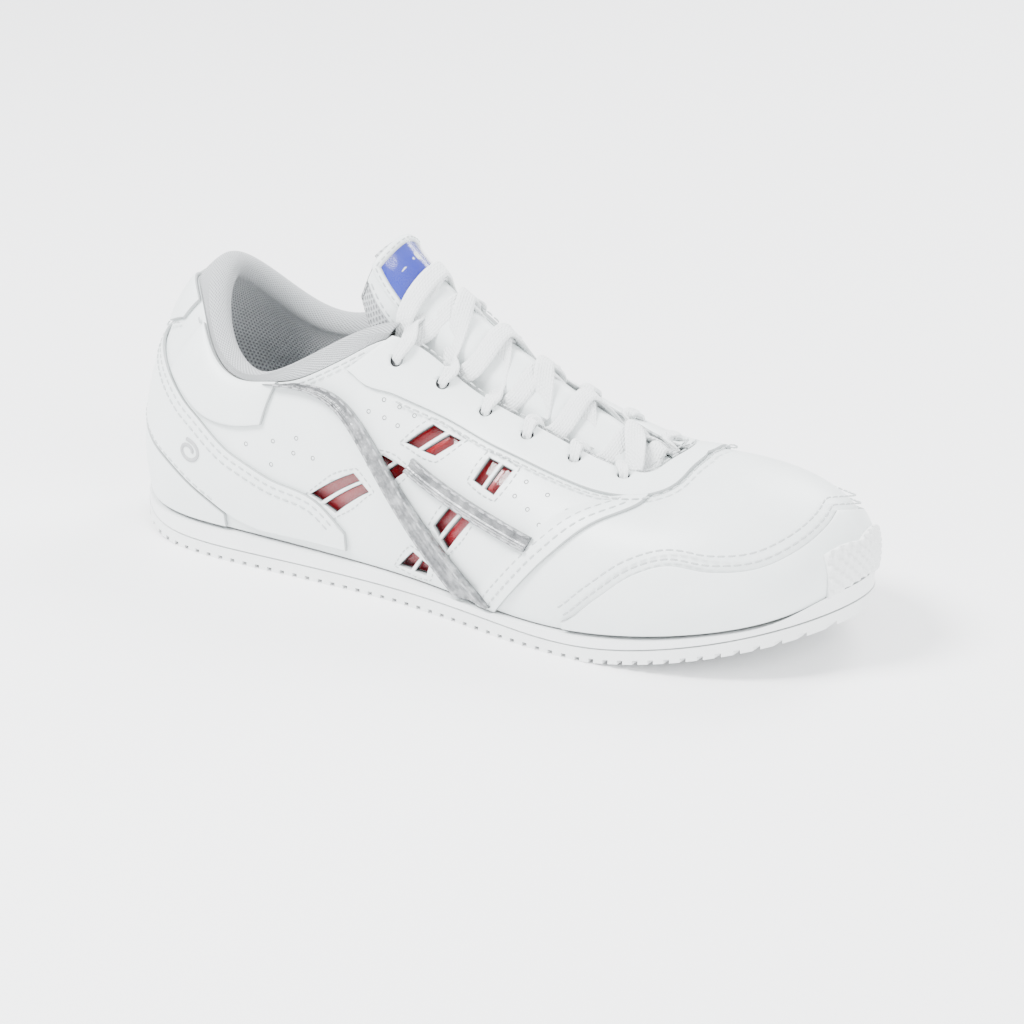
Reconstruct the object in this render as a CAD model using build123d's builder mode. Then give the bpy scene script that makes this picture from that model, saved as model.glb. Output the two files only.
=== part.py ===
from build123d import *
import math
import os
import numpy as np

# Right foot of a pair of junior cheerleading shoes, millimetres.
# +X points to the toe, +Y to the inner (medial) side, +Z up, and the tread stands on z = 0.
#
# The upper is a ring of leather round the foot, so its outer face is one surface with two
# coordinates. "around" runs from the toe (-1) along the outer side to the middle of the heel (0)
# and back along the inner side to the toe (+1). "up" runs from the seam with the sole (0)
# to the edge of the collar and of the lace opening (1).

os.makedirs("parts", exist_ok=True)

# ---------------------------------------------------------------- driving sizes
GRADE = 0.90                 # the pattern below is for a 245 mm shoe, this one is graded down
CENTRE_X, CENTRE_Y = -3.9, -0.8   # middle of the graded pattern, brought over the origin
LEATHER = 1.2                # base leather of vamp and quarters
OVERLAY = 1.0                # panels stitched on top of the base leather
STEP = 0.1                   # gap left between layers
SEAM = 0.002                 # half of the gap at a seam, measured along "around"
FEATHER_UP = 0.015           # the leather starts this far above the sole seam
OVERLAY_UP = 0.035           # and the panels on top of it this far
THROAT_UP = 0.985            # and ends here at the lace opening
EYELET_R = 1.7
SOLE_EDGE = 2.3              # the sole stands this far outside the upper
BOARD_INSET = 5.4
SOCKLINER_INSET = 6.0
OUTSOLE = 2.5
TREAD = 1.1                  # height of the tread bars
TREAD_PITCH = 4.1
COLLAR_FOAM = 4.0
LACE_R = 1.0

# around, seam with the sole (x, y, z), top edge (x, y, z), then the shape of the rib between
# them: how far it bulges and rises off the sole, and how far it stands out and drops at the top
RIBS = [
    (-1.00, 115, 3, 24, 61, 0, 53, 4, 19, 40, 1),
    (-0.90, 107, -18, 19, 59, -7, 51, 7, 22, 33, 0),
    (-0.79, 85, -34, 13, 53, -11, 47, 8, 24, 22, 0),
    (-0.67, 52, -40, 8, 36, -13, 50, 8, 26, 15, 3),
    (-0.56, 22, -38, 7, 15, -14, 57, 8, 27, 14, 5),
    (-0.45, -10, -33, 8, -6, -15, 66, 8, 32, 13, 9),
    (-0.35, -42, -32, 9, -31, -19, 77, 7, 38, 8, 12),
    (-0.23, -78, -33, 10, -70, -27, 59, 6, 24, 7, 5),
    (-0.11, -110, -26, 10, -95, -19, 70, 7, 30, 8, 6),
    (0.00, -125, 0, 11, -104, 0, 84, 6, 34, 12, 8),
    (0.11, -110, 25, 10, -95, 18, 73, 7, 30, 8, 6),
    (0.23, -78, 30, 10, -70, 25, 64, 6, 24, 7, 5),
    (0.35, -42, 27, 9, -31, 18, 78, 6, 38, 8, 12),
    (0.45, -10, 25, 8, -6, 15, 67, 6, 32, 13, 9),
    (0.56, 22, 29, 7, 15, 14, 58, 7, 27, 14, 5),
    (0.67, 52, 36, 8, 36, 13, 51, 7, 26, 15, 3),
    (0.79, 85, 38, 13, 53, 11, 48, 8, 24, 22, 0),
    (0.90, 108, 23, 19, 59, 7, 52, 7, 22, 33, 0),
]

# seams on the leather, as (around, up) on either side
VAMP_SEAM = [(0.0, 0.541), (0.14, 0.576), (0.33, 0.621), (0.55, 0.677), (0.71, 0.736), (1.0, 0.80)]
COLLAR_RIM = [(0.0, 0.80), (0.10, 0.955), (0.17, 0.935), (0.24, 0.88), (0.285, 0.79),
              (0.32, 0.83), (0.36, 0.97), (0.40, 0.985)]
EYESTAY_LOW = [(0.33, 0.76), (0.36, 0.67), (0.40, 0.69), (0.46, 0.75), (0.54, 0.737),
               (0.63, 0.722), (0.69, 0.72), (0.74, 0.745), (0.80, 0.81), (0.90, 0.90), (1.0, 0.938)]
COUNTER_TOP = [(0.0, 0.26), (0.11, 0.243), (0.15, 0.22), (0.20, 0.135), (0.24, 0.05), (0.27, 0.02)]
HEEL_PANEL_TOP = [(0.0, 0.54), (0.15, 0.543), (0.18, 0.52), (0.24, 0.36), (0.28, 0.25),
                  (0.34, 0.158), (0.38, 0.06), (0.41, 0.02)]
HEEL_TAB_LOW = [(0.0, 0.58), (0.04, 0.60), (0.085, 0.79), (0.11, 0.93)]
ANKLE_LOW = [(0.10, 0.58), (0.15, 0.57), (0.18, 0.55), (0.22, 0.54), (0.30, 0.51)]
TOE_CAP_TOP = [(0.62, 0.02), (0.65, 0.05), (0.69, 0.17), (0.73, 0.29), (0.77, 0.345), (0.81, 0.305),
               (0.86, 0.285), (0.91, 0.315), (0.97, 0.38), (1.0, 0.42)]
EYELETS = [(0.380, 0.846), (0.435, 0.895), (0.501, 0.905), (0.572, 0.885), (0.648, 0.885), (0.734, 0.905)]

# the see-through windows in each quarter and the two silver bars, by their corners
WINDOWS = [
    [(0.426, 0.522), (0.448, 0.687), (0.488, 0.696), (0.464, 0.552)],
    [(0.518, 0.532), (0.530, 0.677), (0.568, 0.662), (0.550, 0.502)],
    [(0.394, 0.353), (0.404, 0.413), (0.438, 0.423), (0.422, 0.338)],
    [(0.328, 0.184), (0.376, 0.294), (0.396, 0.249), (0.358, 0.134)],
    [(0.476, 0.249), (0.496, 0.378), (0.526, 0.348), (0.494, 0.169)],
    [(0.428, 0.030), (0.448, 0.104), (0.468, 0.075), (0.462, 0.030)],
]
REAR_BAR = [(0.248, 0.821), (0.290, 0.731), (0.552, 0.020), (0.502, 0.020)]
FRONT_BAR = [(0.410, 0.428), (0.416, 0.507), (0.612, 0.378), (0.602, 0.303)]


# ---------------------------------------------------------------- the leather surface
def closed_spline(rows):
    """Smooth curve through rows of (around, values...), which repeats every 2."""
    data = np.array(rows, float)
    knots, values = data[:, 0], data[:, 1:]
    count = len(knots)
    steps = np.diff(np.append(knots, knots[0] + 2.0))
    system = np.zeros((count, count))
    right = np.zeros(values.shape)
    for i in range(count):
        before, after = steps[i - 1], steps[i]
        nxt = (i + 1) % count
        system[i, i - 1] += before
        system[i, i] += 2 * (before + after)
        system[i, nxt] += after
        right[i] = 6 * ((values[nxt] - values[i]) / after - (values[i] - values[i - 1]) / before)
    bend = np.linalg.solve(system, right)

    def curve(around):
        place = (around - knots[0]) % 2.0 + knots[0]
        i = int(np.searchsorted(knots, place, side="right")) - 1
        j = (i + 1) % count
        span = steps[i]
        b = (place - knots[i]) / span
        a = 1 - b
        return (a * values[i] + b * values[j]
                + ((a ** 3 - a) * bend[i] + (b ** 3 - b) * bend[j]) * span * span / 6)

    return curve


def open_curve(points):
    """Smooth curve through a list of (place, value...) rows, straight on past its ends."""
    data = np.array(points, float)
    places, values = data[:, 0], data[:, 1:]
    slopes = np.gradient(values, places, axis=0)

    def curve(place):
        i = int(np.clip(np.searchsorted(places, place) - 1, 0, len(places) - 2))
        span = places[i + 1] - places[i]
        t = float(np.clip((place - places[i]) / span, 0, 1))
        return ((2 * t ** 3 - 3 * t ** 2 + 1) * values[i] + (t ** 3 - 2 * t ** 2 + t) * span * slopes[i]
                + (3 * t ** 2 - 2 * t ** 3) * values[i + 1] + (t ** 3 - t ** 2) * span * slopes[i + 1])

    return curve


def height_line(points):
    curve = open_curve(points)
    return lambda place: float(curve(place)[0])


rib_values = closed_spline(RIBS)


def graded(point):
    """Point of the pattern, in the shoe's own size and place."""
    return np.array([point[0] * GRADE - CENTRE_X, point[1] * GRADE - CENTRE_Y, point[2] * GRADE])


def rib(around):
    values = rib_values(around)
    foot, top = values[0:3], values[3:6]
    bulge, rise, out, drop = values[6:10]
    along = rib_values(around + 0.001)[0:2] - rib_values(around - 0.001)[0:2]
    outward = np.array([along[1], -along[0]]) / np.hypot(*along)
    if foot[:2] @ outward < 0:
        outward = -outward
    away = (foot - top)[:2] / np.hypot(*(foot - top)[:2])
    low = foot + np.array([outward[0] * bulge, outward[1] * bulge, rise])
    high = top + np.array([away[0] * out, away[1] * out, -drop])
    return foot, low, high, top


def leather(around, up):
    foot, low, high, top = rib(around)
    rest = 1 - up
    return graded(rest ** 3 * foot + 3 * rest ** 2 * up * low + 3 * rest * up ** 2 * high + up ** 3 * top)


def outward(around, up):
    """Unit normal of the leather, out of the shoe."""
    e = 0.002
    along = leather(around + e, up) - leather(around - e, up)
    rising = leather(around, min(up + e, 1)) - leather(around, max(up - e, 0))
    normal = np.cross(rising, along)
    return normal / np.linalg.norm(normal)


def lifted(around, up, lift):
    return leather(around, up) + outward(around, up) * lift


def feather(around, out=0.0):
    """Plan point (x, y) of the seam with the sole, moved outward."""
    foot = graded(rib(around)[0])
    normal = outward(around, 0.0)[:2]
    return foot[:2] + normal / np.hypot(*normal) * out


# ---------------------------------------------------------------- sheets on that surface
def facet(*points):
    return Face(Wire.make_polygon([Vector(*point) for point in points], close=True))


def shell_of(outer, inner):
    """Closed solid between two equal grids of points, in flat facets."""
    columns, rows = len(outer) - 1, len(outer[0]) - 1
    faces = []
    for i in range(columns):
        for j in range(rows):
            for grid in (outer, inner):
                a, b, c, d = grid[i][j], grid[i + 1][j], grid[i + 1][j + 1], grid[i][j + 1]
                faces += [facet(a, b, c), facet(a, c, d)]
    rim = ([(i, 0) for i in range(columns)] + [(columns, j) for j in range(rows)]
           + [(i, rows) for i in range(columns, 0, -1)] + [(0, j) for j in range(rows, 0, -1)])
    for (i, j), (k, m) in zip(rim, rim[1:] + rim[:1]):
        faces += [facet(outer[i][j], outer[k][m], inner[k][m]), facet(outer[i][j], inner[k][m], inner[i][j])]
    return Solid(Shell(faces))


def sheet_solid(point_at, low, high, columns, rows):
    """Solid between two lifts of point_at(s, t, lift), for s and t from 0 to 1."""
    grids = [[[point_at(i / columns, j / rows, lift) for j in range(rows + 1)] for i in range(columns + 1)]
             for lift in (high, low)]
    return shell_of(*grids)


def between(start, end, low, high):
    """Points of a panel from "around" start to end, between two heights."""
    def point_at(s, t, lift):
        around = start + (end - start) * s
        side = abs(around) if abs(around) <= 1 else 2 - abs(around)
        bottom, top = low(side), high(side)
        return lifted(around, bottom + (top - bottom) * t, lift)
    return point_at


def corners(quad, side):
    """Points of a four-sided panel given by its corners, on side -1 (outer) or +1 (inner)."""
    a, b, c, d = np.array(quad)

    def point_at(s, t, lift):
        low, high = d + (a - d) * s, c + (b - c) * s
        around, up = low + (high - low) * t
        return lifted(side * around, up, lift)
    return point_at


def save(piece, label):
    piece.part.label = label
    export_step(piece.part, f"parts/{label}.step")


def panel(label, point_at, low, thickness, columns, rows, holes=()):
    """One sheet of even thickness, its inner face at lift low, with cutters taken out of it."""
    with BuildPart() as sheet:
        add(sheet_solid(point_at, low, low + thickness, columns, rows))
        for cutter in holes:
            add(cutter, mode=Mode.SUBTRACT)
    save(sheet, label)
    return sheet


def constant(value):
    return lambda side: value


# ---------------------------------------------------------------- sole
def outline(out):
    """Closed plan curve round the seam with the sole, moved outward."""
    return [tuple(feather(-1 + i / 24, out)) for i in range(48)]


def feather_height(x):
    """Height of the sole seam over the ground at x of the pattern."""
    return float(seam_heights(x)[0])


def ground_height(x):
    """Height of the tread over the ground at x of the pattern: toe spring and heel bevel."""
    if x > 50:
        return ((x - 50) / 70) ** 1.4 * 15
    if x < -95:
        return ((-x - 95) / 30) ** 2 * 4
    return 0.0


seam_heights = open_curve(sorted((row[1], row[3]) for row in RIBS if row[0] <= 0))
PROFILE_X = [-131, -123, -115, -105, -95, -70, -40, -10, 20, 50, 60, 70, 80, 90, 100, 108, 116, 122]


def slab(inset, low, high, bars=None):
    """Slice of the sole between two height lines, within the outline moved in by inset."""
    lower = [(x * GRADE - CENTRE_X, low(x)) for x in PROFILE_X]
    upper = [(x * GRADE - CENTRE_X, high(x)) for x in PROFILE_X]
    with BuildPart() as slice_:
        with BuildSketch():
            with BuildLine():
                Spline(*outline(-inset), periodic=True)
            make_face()
        extrude(amount=70)
        with BuildSketch(Plane.XZ):
            with BuildLine():
                Spline(*lower)
                Line(lower[-1], upper[-1])
                Spline(*upper[::-1])
                Line(upper[0], lower[0])
            make_face()
        extrude(amount=80, both=True, mode=Mode.INTERSECT)
    return slice_


def above_ground(height):
    return lambda x: ground_height(x) * GRADE + height


def above_seam(height):
    return lambda x: feather_height(x) * GRADE + height


def tread_line():
    """Side view of the tread bars, from heel to toe, as one toothed line."""
    points = []
    bars = int((PROFILE_X[-1] - PROFILE_X[0]) * GRADE / TREAD_PITCH)
    for bar in range(bars):
        back = PROFILE_X[0] * GRADE + 0.5 + bar * TREAD_PITCH
        front = back + TREAD_PITCH * 0.64
        ground_back, ground_front = (ground_height(x / GRADE) * GRADE for x in (back, front))
        back, front = back - CENTRE_X, front - CENTRE_X
        points += [(back, ground_back + TREAD), (back, ground_back),
                   (front, ground_front), (front, ground_front + TREAD)]
    return points


teeth = tread_line()
plate_top = [(x * GRADE - CENTRE_X, ground_height(x) * GRADE + TREAD + OUTSOLE) for x in PROFILE_X]
with BuildPart() as outsole:
    with BuildSketch():
        with BuildLine():
            Spline(*outline(SOLE_EDGE), periodic=True)
        make_face()
    extrude(amount=40)
    with BuildSketch(Plane.XZ):
        with BuildLine():
            Polyline(*teeth)
            Line(teeth[-1], plate_top[-1])
            Spline(*plate_top[::-1])
            Line(plate_top[0], teeth[0])
        make_face()
    extrude(amount=80, both=True, mode=Mode.INTERSECT)
save(outsole, "outsole")

midsole = slab(-SOLE_EDGE + 0.2, above_ground(TREAD + OUTSOLE + 0.45), above_seam(-0.5))
save(midsole, "midsole")
strobel_board = slab(BOARD_INSET, above_seam(0.1), above_seam(1.2))
save(strobel_board, "strobel_board")
sockliner = slab(SOCKLINER_INSET, above_seam(2.1), above_seam(5.5))
save(sockliner, "sockliner")

# ---------------------------------------------------------------- linings and stiffeners
# lift of each layer's inner face over the outer face of the base leather
OVERLAY_LIFT = 0.4
BAR_LIFT = OVERLAY_LIFT + OVERLAY + 0.3
WINDOW_FILM, COLOUR_CARD, POCKET_BACK, QUARTER_LINING = -2.1, -3.5, -5.0, -6.1
FOAM_TOP = -2.0
FORE_LINING, TOE_PUFF, EYESTAY_BACKING = -4.0, -2.7, -2.5
HEEL_COUNTER = -3.4
SHEET, CARD, LINING = 0.4, 0.4, 0.7
COLLAR_IN = -7.6             # how deep the lining of the padded collar lies

vamp_seam = height_line(VAMP_SEAM)
collar_rim = height_line(COLLAR_RIM)
eyestay_low = height_line(EYESTAY_LOW)
counter_top = height_line(COUNTER_TOP)
heel_panel_top = height_line(HEEL_PANEL_TOP)
heel_tab_low = height_line(HEEL_TAB_LOW)
ankle_low = height_line(ANKLE_LOW)
toe_cap_top = height_line(TOE_CAP_TOP)


def round_toe(gap, low, high):
    """Points of a panel that runs from the vamp's outer seam over the toe to its inner seam."""
    def point_at(s, t, lift):
        up = low + (high - low) * t
        start = -(vamp_seam(up) + gap)
        return lifted(start + (-2 - 2 * start) * s, up, lift)
    return point_at


def quarter(side, back, low, top):
    """Points of a panel that runs from "around" back forward to the seam with the vamp."""
    def point_at(s, t, lift):
        fore = vamp_seam(low + (THROAT_UP - low) * t) - SEAM
        around = back + (fore - back) * s
        return lifted(side * around, low + (top(around) - low) * t, lift)
    return point_at


def pocket(side, back, fore, low, high):
    """Points of a sheet behind the windows: it steps down below the collar's foam at its back."""
    def point_at(s, t, lift):
        limit = min(fore, vamp_seam(low + (high - low) * t) - 0.015)
        around = back + (limit - back) * s
        step = 0.20 * (1 - min(1, max(0, (around - 0.355) / 0.03)))
        return lifted(side * around, low + (high - step - low) * t, lift)
    return point_at


def eyelet_cutters(side):
    cutters = []
    for around, up in EYELETS:
        place = Plane(origin=tuple(leather(side * around, up)), z_dir=tuple(outward(side * around, up)))
        cutters.append(place * Cylinder(EYELET_R, 18))
    return cutters


def window_panes(quad):
    """The two panes of a window, either side of its slanting bar."""
    a, b, c, d = np.array(quad)
    back_low, fore_low = a + (d - a) * 0.44, a + (d - a) * 0.56
    back_high, fore_high = b + (c - b) * 0.44, b + (c - b) * 0.56
    return [(a, b, back_high, back_low), (fore_low, fore_high, c, d)]


panel("toe_puff", between(-0.76, -1.24, constant(0.03), constant(0.36)), TOE_PUFF, 0.9, 16, 3)
panel("vamp_lining", round_toe(0.004, 0.03, THROAT_UP), FORE_LINING, LINING, 26, 8)
panel("heel_counter", between(-0.25, 0.25, constant(0.03), constant(0.5)), HEEL_COUNTER, 1.4, 18, 4)
panel("collar_foam", between(-0.35, 0.35, constant(0.62), constant(0.985)),
      FOAM_TOP - COLLAR_FOAM, COLLAR_FOAM, 24, 4)


def collar_profile(s, t, lift):
    """Lining of the collar: over the rim, round its soft edge and down inside the shoe."""
    around = -0.356 + 0.712 * s
    rim = min(collar_rim(abs(around)), 0.97)
    nose = -COLLAR_IN / 2
    if t < 0.2:
        return lifted(around, rim + (1 - rim) * t / 0.2, lift)
    edge, normal = leather(around, 1.0), outward(around, 1.0)
    if t < 0.5:
        turn = math.pi * (t - 0.2) / 0.3
        inward = edge - leather(around, 0.99)
        inward = inward / np.linalg.norm(inward)
        reach = nose + lift
        return edge + normal * (reach * math.cos(turn) - nose) + inward * reach * math.sin(turn)
    up = 1.0 + (0.03 - 1.0) * (t - 0.5) / 0.5
    blend = float(np.clip((up - 0.38) / 0.2, 0, 1))
    blend = blend * blend * (3 - 2 * blend)
    return lifted(around, up, QUARTER_LINING + (COLLAR_IN - QUARTER_LINING) * blend - lift)


with BuildPart() as collar_lining:
    add(sheet_solid(collar_profile, -0.8, 0.0, 26, 14))
save(collar_lining, "collar_lining")

# ---------------------------------------------------------------- leather
panel("vamp", round_toe(SEAM, FEATHER_UP, THROAT_UP), -LEATHER, LEATHER, 28, 8)
panel("toe_cap", between(-0.645, -1.355, constant(OVERLAY_UP), toe_cap_top), OVERLAY_LIFT, OVERLAY, 24, 3)
panel("toe_bumper", between(-0.95, -1.13, constant(0.045),
                            lambda side: 0.10 + 0.15 * math.sin(math.pi * (side - 0.86) / 0.2)),
      BAR_LIFT, 1.8, 10, 3)


def eyestay_points(s, t, lift):
    start = -(0.334 + 0.027 * t)
    around = start + (-2 - 2 * start) * s
    side = abs(around) if abs(around) <= 1 else 2 - abs(around)
    low = eyestay_low(side)
    return lifted(around, low + (THROAT_UP - low) * t, lift)


panel("eyestay", eyestay_points, OVERLAY_LIFT, OVERLAY, 44, 2, eyelet_cutters(-1) + eyelet_cutters(1))
panel("heel_foxing", between(-0.225, 0.225, constant(OVERLAY_UP), lambda side: counter_top(side) - 0.004),
      OVERLAY_LIFT, OVERLAY, 20, 3)
panel("heel_tab", between(-0.08, 0.08, heel_tab_low, lambda side: collar_rim(side) - 0.012),
      OVERLAY_LIFT, OVERLAY, 8, 4)

for side, name in ((-1, "lateral"), (1, "medial")):
    def strip(back, fore, low, high, side=side):
        return between(side * back, side * fore, low, high)

    eyelets = eyelet_cutters(side)
    panes = [sheet_solid(corners(pane, side), -2.0, 1.0, 1, 1)
             for quad in WINDOWS for pane in window_panes(quad)]
    panel(f"quarter_{name}",
          quarter(side, 0.003, FEATHER_UP, lambda around: min(collar_rim(around), THROAT_UP) - 0.018),
          -LEATHER, LEATHER, 24, 8, eyelets + panes)
    panel(f"quarter_lining_{name}", quarter(side, 0.362, 0.03, constant(0.76)), QUARTER_LINING, LINING, 10, 7)
    panel(f"eyestay_backing_{name}", strip(0.365, 0.735, constant(0.80), constant(0.97)),
          EYESTAY_BACKING, 0.9, 12, 2, eyelets)
    panel(f"heel_panel_{name}",
          strip(0.004, 0.37, lambda around: max(OVERLAY_UP, counter_top(around) + 0.008), heel_panel_top),
          OVERLAY_LIFT, OVERLAY, 16, 5)
    panel(f"ankle_panel_{name}", strip(0.112, 0.262, ankle_low, lambda around: collar_rim(around) - 0.012),
          OVERLAY_LIFT, OVERLAY, 8, 4)
    panel(f"rear_bar_{name}", corners(REAR_BAR, side), BAR_LIFT, 0.8, 2, 10)
    panel(f"front_bar_{name}", corners(FRONT_BAR, side), BAR_LIFT, 0.8, 2, 7)
    panel(f"window_film_{name}", pocket(side, 0.29, 0.60, 0.035, 0.73), WINDOW_FILM, SHEET, 9, 6)
    panel(f"colour_card_{name}", pocket(side, 0.32, 0.574, 0.045, 0.715), COLOUR_CARD, CARD, 8, 6)
    panel(f"pocket_back_{name}", pocket(side, 0.27, 0.60, 0.05, 0.74), POCKET_BACK, SHEET, 10, 6)

# ---------------------------------------------------------------- tongue
# stations from under the vamp to the free end: the middle of the outer face (x, z), the edge of
# the dome between the two eyestays (x, y, z) and the edge of the wing below (x, y, z)
TONGUE = [
    (0.00, 66, 43.5, 64, 8, 42.5, 62, 14, 38),
    (0.14, 50, 50.0, 51, 9, 42.0, 50, 16, 38),
    (0.28, 36, 56.5, 38, 10, 43.5, 38, 18, 40),
    (0.42, 20, 63.5, 22, 10.5, 49.0, 23, 18, 44),
    (0.55, 5, 71.0, 7, 11, 56.0, 8, 17.5, 50),
    (0.68, -10, 79.5, -10, 11, 63.5, -9, 15.5, 56),
    (0.80, -24, 89.0, -26, 10.0, 73.0, -26, 10.0, 63),
    (0.91, -33, 96.0, -37, 10.2, 84.0, -42, 9.5, 72),
    (1.00, -38, 101.0, -42, 10.5, 93.0, -46, 10.5, 84),
]
TONGUE_DRIFT = -0.4          # the free end leans to the outer side by this much
TONGUE_LEATHER, TONGUE_FOAM, TONGUE_LINING = 1.1, 3.2, 0.7
tongue_values = open_curve(TONGUE)


def tongue_surface(s, t):
    """Outer face of the tongue: s runs to the free end, t from -1 to +1 across it."""
    x, z, edge_x, edge_y, edge_z, wing_x, wing_y, wing_z = tongue_values(s)
    across = [(0.0, x, 0.0, z),
              (0.30, x + (edge_x - x) * 0.40, edge_y * 0.80, z + (edge_z - z) * 0.40),
              (0.62, edge_x, edge_y, edge_z),
              (1.0, wing_x, wing_y, wing_z)]
    mirrored = [(-place, px, -py, pz) for place, px, py, pz in across[:0:-1]]
    point = open_curve(mirrored + across)(t)
    point[1] += TONGUE_DRIFT * s
    return graded(point)


def tongue(s, t, lift):
    e = 0.01
    along = tongue_surface(min(s + e, 1), t) - tongue_surface(max(s - e, 0), t)
    across = tongue_surface(s, t + e) - tongue_surface(s, t - e)
    normal = np.cross(across, along)
    return tongue_surface(s, t) + normal / np.linalg.norm(normal) * lift


def tongue_part(s_low, s_high, t_low, t_high):
    def point_at(s, t, lift):
        return tongue(s_low + (s_high - s_low) * s, t_low + (t_high - t_low) * t, lift)
    return point_at


foam_top = -TONGUE_LEATHER - 0.4
lining_top = foam_top - TONGUE_FOAM - 0.4
whole_tongue = tongue_part(0, 1, -1, 1)
panel("tongue_outer", whole_tongue, -TONGUE_LEATHER, TONGUE_LEATHER, 12, 14)
panel("tongue_foam", whole_tongue, foam_top - TONGUE_FOAM, TONGUE_FOAM, 12, 14)
panel("tongue_lining", whole_tongue, lining_top - TONGUE_LINING, TONGUE_LINING, 12, 14)
badge_place = tongue_part(0.845, 0.98, -0.36, 0.36)
panel("badge_card", badge_place, 0.4, CARD, 6, 10)
panel("badge_film", badge_place, 1.1, SHEET, 6, 10)

# ---------------------------------------------------------------- lace
# Criss-cross lacing: a straight bar across the two front eyelets, then each end crosses over the
# tongue, passes under the opposite edge and comes up through the next eyelet.
LACE_OVER, LACE_UNDER = 3.4, -3.8      # where the lace runs above and below the eyestay
EYELET_S = [0.79, 0.67, 0.555, 0.43, 0.295, 0.14]   # place along the tongue of each pair of eyelets
SHOULDER_T = 0.42                # place across the tongue where the lace goes over its side


def on_eyestay(side, eyelet, up, lift):
    around, eyelet_up = EYELETS[eyelet]
    return lifted(side * around, eyelet_up if up is None else up, lift)


def over_tongue(s, t, layer):
    return tongue(s, t, LACE_R + 3.0 + layer * (2 * LACE_R + 0.5))


def crossing(side, start_s, end_s, layer):
    """Three points over the tongue, from one side to the other."""
    return [over_tongue(start_s + (end_s - start_s) * share, t, height)
            for share, t, height in ((0.2, side * SHOULDER_T, layer * 0.6), (0.5, 0.0, layer),
                                     (0.8, -side * SHOULDER_T, layer * 0.6))]


def half_lace(side):
    """Route from the front eyelet of one side up to the tucked end."""
    route = [on_eyestay(side, 5, None, LACE_OVER), on_eyestay(side, 5, None, LACE_UNDER),
             on_eyestay(side, 5, 0.985, LACE_UNDER)]
    for eyelet in (4, 3, 2, 1, 0):
        route += crossing(side, EYELET_S[eyelet + 1], EYELET_S[eyelet], int((eyelet % 2 > 0) == (side > 0)))
        side = -side
        route += [on_eyestay(side, eyelet, 0.985, LACE_UNDER),
                  on_eyestay(side, eyelet, None, LACE_UNDER),
                  on_eyestay(side, eyelet, None, LACE_OVER),
                  on_eyestay(side, eyelet, 0.975, LACE_OVER)]
    route += crossing(side, 0.80, 0.83, int(side > 0))
    route += [lifted(-side * 0.364, 0.985, LACE_UNDER - 0.4), lifted(-side * 0.366, 0.88, -5.8),
              lifted(-side * 0.376, 0.74, -9.2), lifted(-side * 0.392, 0.60, -10.6)]
    return route


def corner_radii(route):
    """Each bend as large as its two runs allow."""
    radii = []
    for before, corner, after in zip(route, route[1:], route[2:]):
        run_in, run_out = Vector(*(corner - before)), Vector(*(after - corner))
        turn = math.radians(run_in.get_angle(run_out))
        radii.append(0.45 * min(run_in.length, run_out.length) / math.tan(turn / 2))
    return radii


lateral_half, medial_half = half_lace(-1), half_lace(1)
bar = [over_tongue(0.13, t, 0.5) for t in (-SHOULDER_T, 0.0, SHOULDER_T)]
lace_route = lateral_half[::-1] + bar + medial_half
lace_radii = corner_radii(lace_route)
with BuildPart() as lace:
    with BuildLine() as lace_line:
        FilletPolyline(*[tuple(point) for point in lace_route], radius=lace_radii)
    with BuildSketch(Plane(origin=lace_line.line @ 0, z_dir=lace_line.line % 0)):
        Circle(LACE_R)
    sweep()
save(lace, "lace")

with BuildPart() as lace_tips:
    for end, before in ((lace_route[0], lace_route[1]), (lace_route[-1], lace_route[-2])):
        with BuildSketch(Plane(origin=tuple(end), z_dir=tuple(end - before))):
            Circle(LACE_R + 0.2)
        extrude(amount=14)
save(lace_tips, "lace_tips")
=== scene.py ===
"""Looks of a right cheer shoe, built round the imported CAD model. Metres, +X toe, +Y inner side."""
import math

import bpy
import numpy as np
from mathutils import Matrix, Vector


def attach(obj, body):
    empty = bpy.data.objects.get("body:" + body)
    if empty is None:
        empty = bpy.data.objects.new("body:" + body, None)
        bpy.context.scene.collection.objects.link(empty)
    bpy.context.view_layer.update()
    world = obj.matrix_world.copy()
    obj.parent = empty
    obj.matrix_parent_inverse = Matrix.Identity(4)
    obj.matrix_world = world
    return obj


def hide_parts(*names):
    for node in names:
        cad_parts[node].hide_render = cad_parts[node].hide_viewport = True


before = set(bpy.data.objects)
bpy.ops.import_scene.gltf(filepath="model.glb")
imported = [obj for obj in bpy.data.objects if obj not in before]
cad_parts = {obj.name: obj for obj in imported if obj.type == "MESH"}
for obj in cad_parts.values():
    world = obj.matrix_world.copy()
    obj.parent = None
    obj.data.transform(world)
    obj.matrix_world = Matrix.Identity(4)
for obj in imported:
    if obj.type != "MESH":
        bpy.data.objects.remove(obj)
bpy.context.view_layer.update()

MM = 0.001
GRADE = 0.90                      # the pattern is for a 245 mm shoe, this one is graded down
CENTRE = np.array([-3.9, -0.8, 0.0])
LEATHER, OVERLAY = 1.2, 1.0       # thickness of base leather and of the panels on it, mm
OVERLAY_LIFT = 0.25               # inner face of the panels over the base leather
THROAT_UP = 0.985

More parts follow.
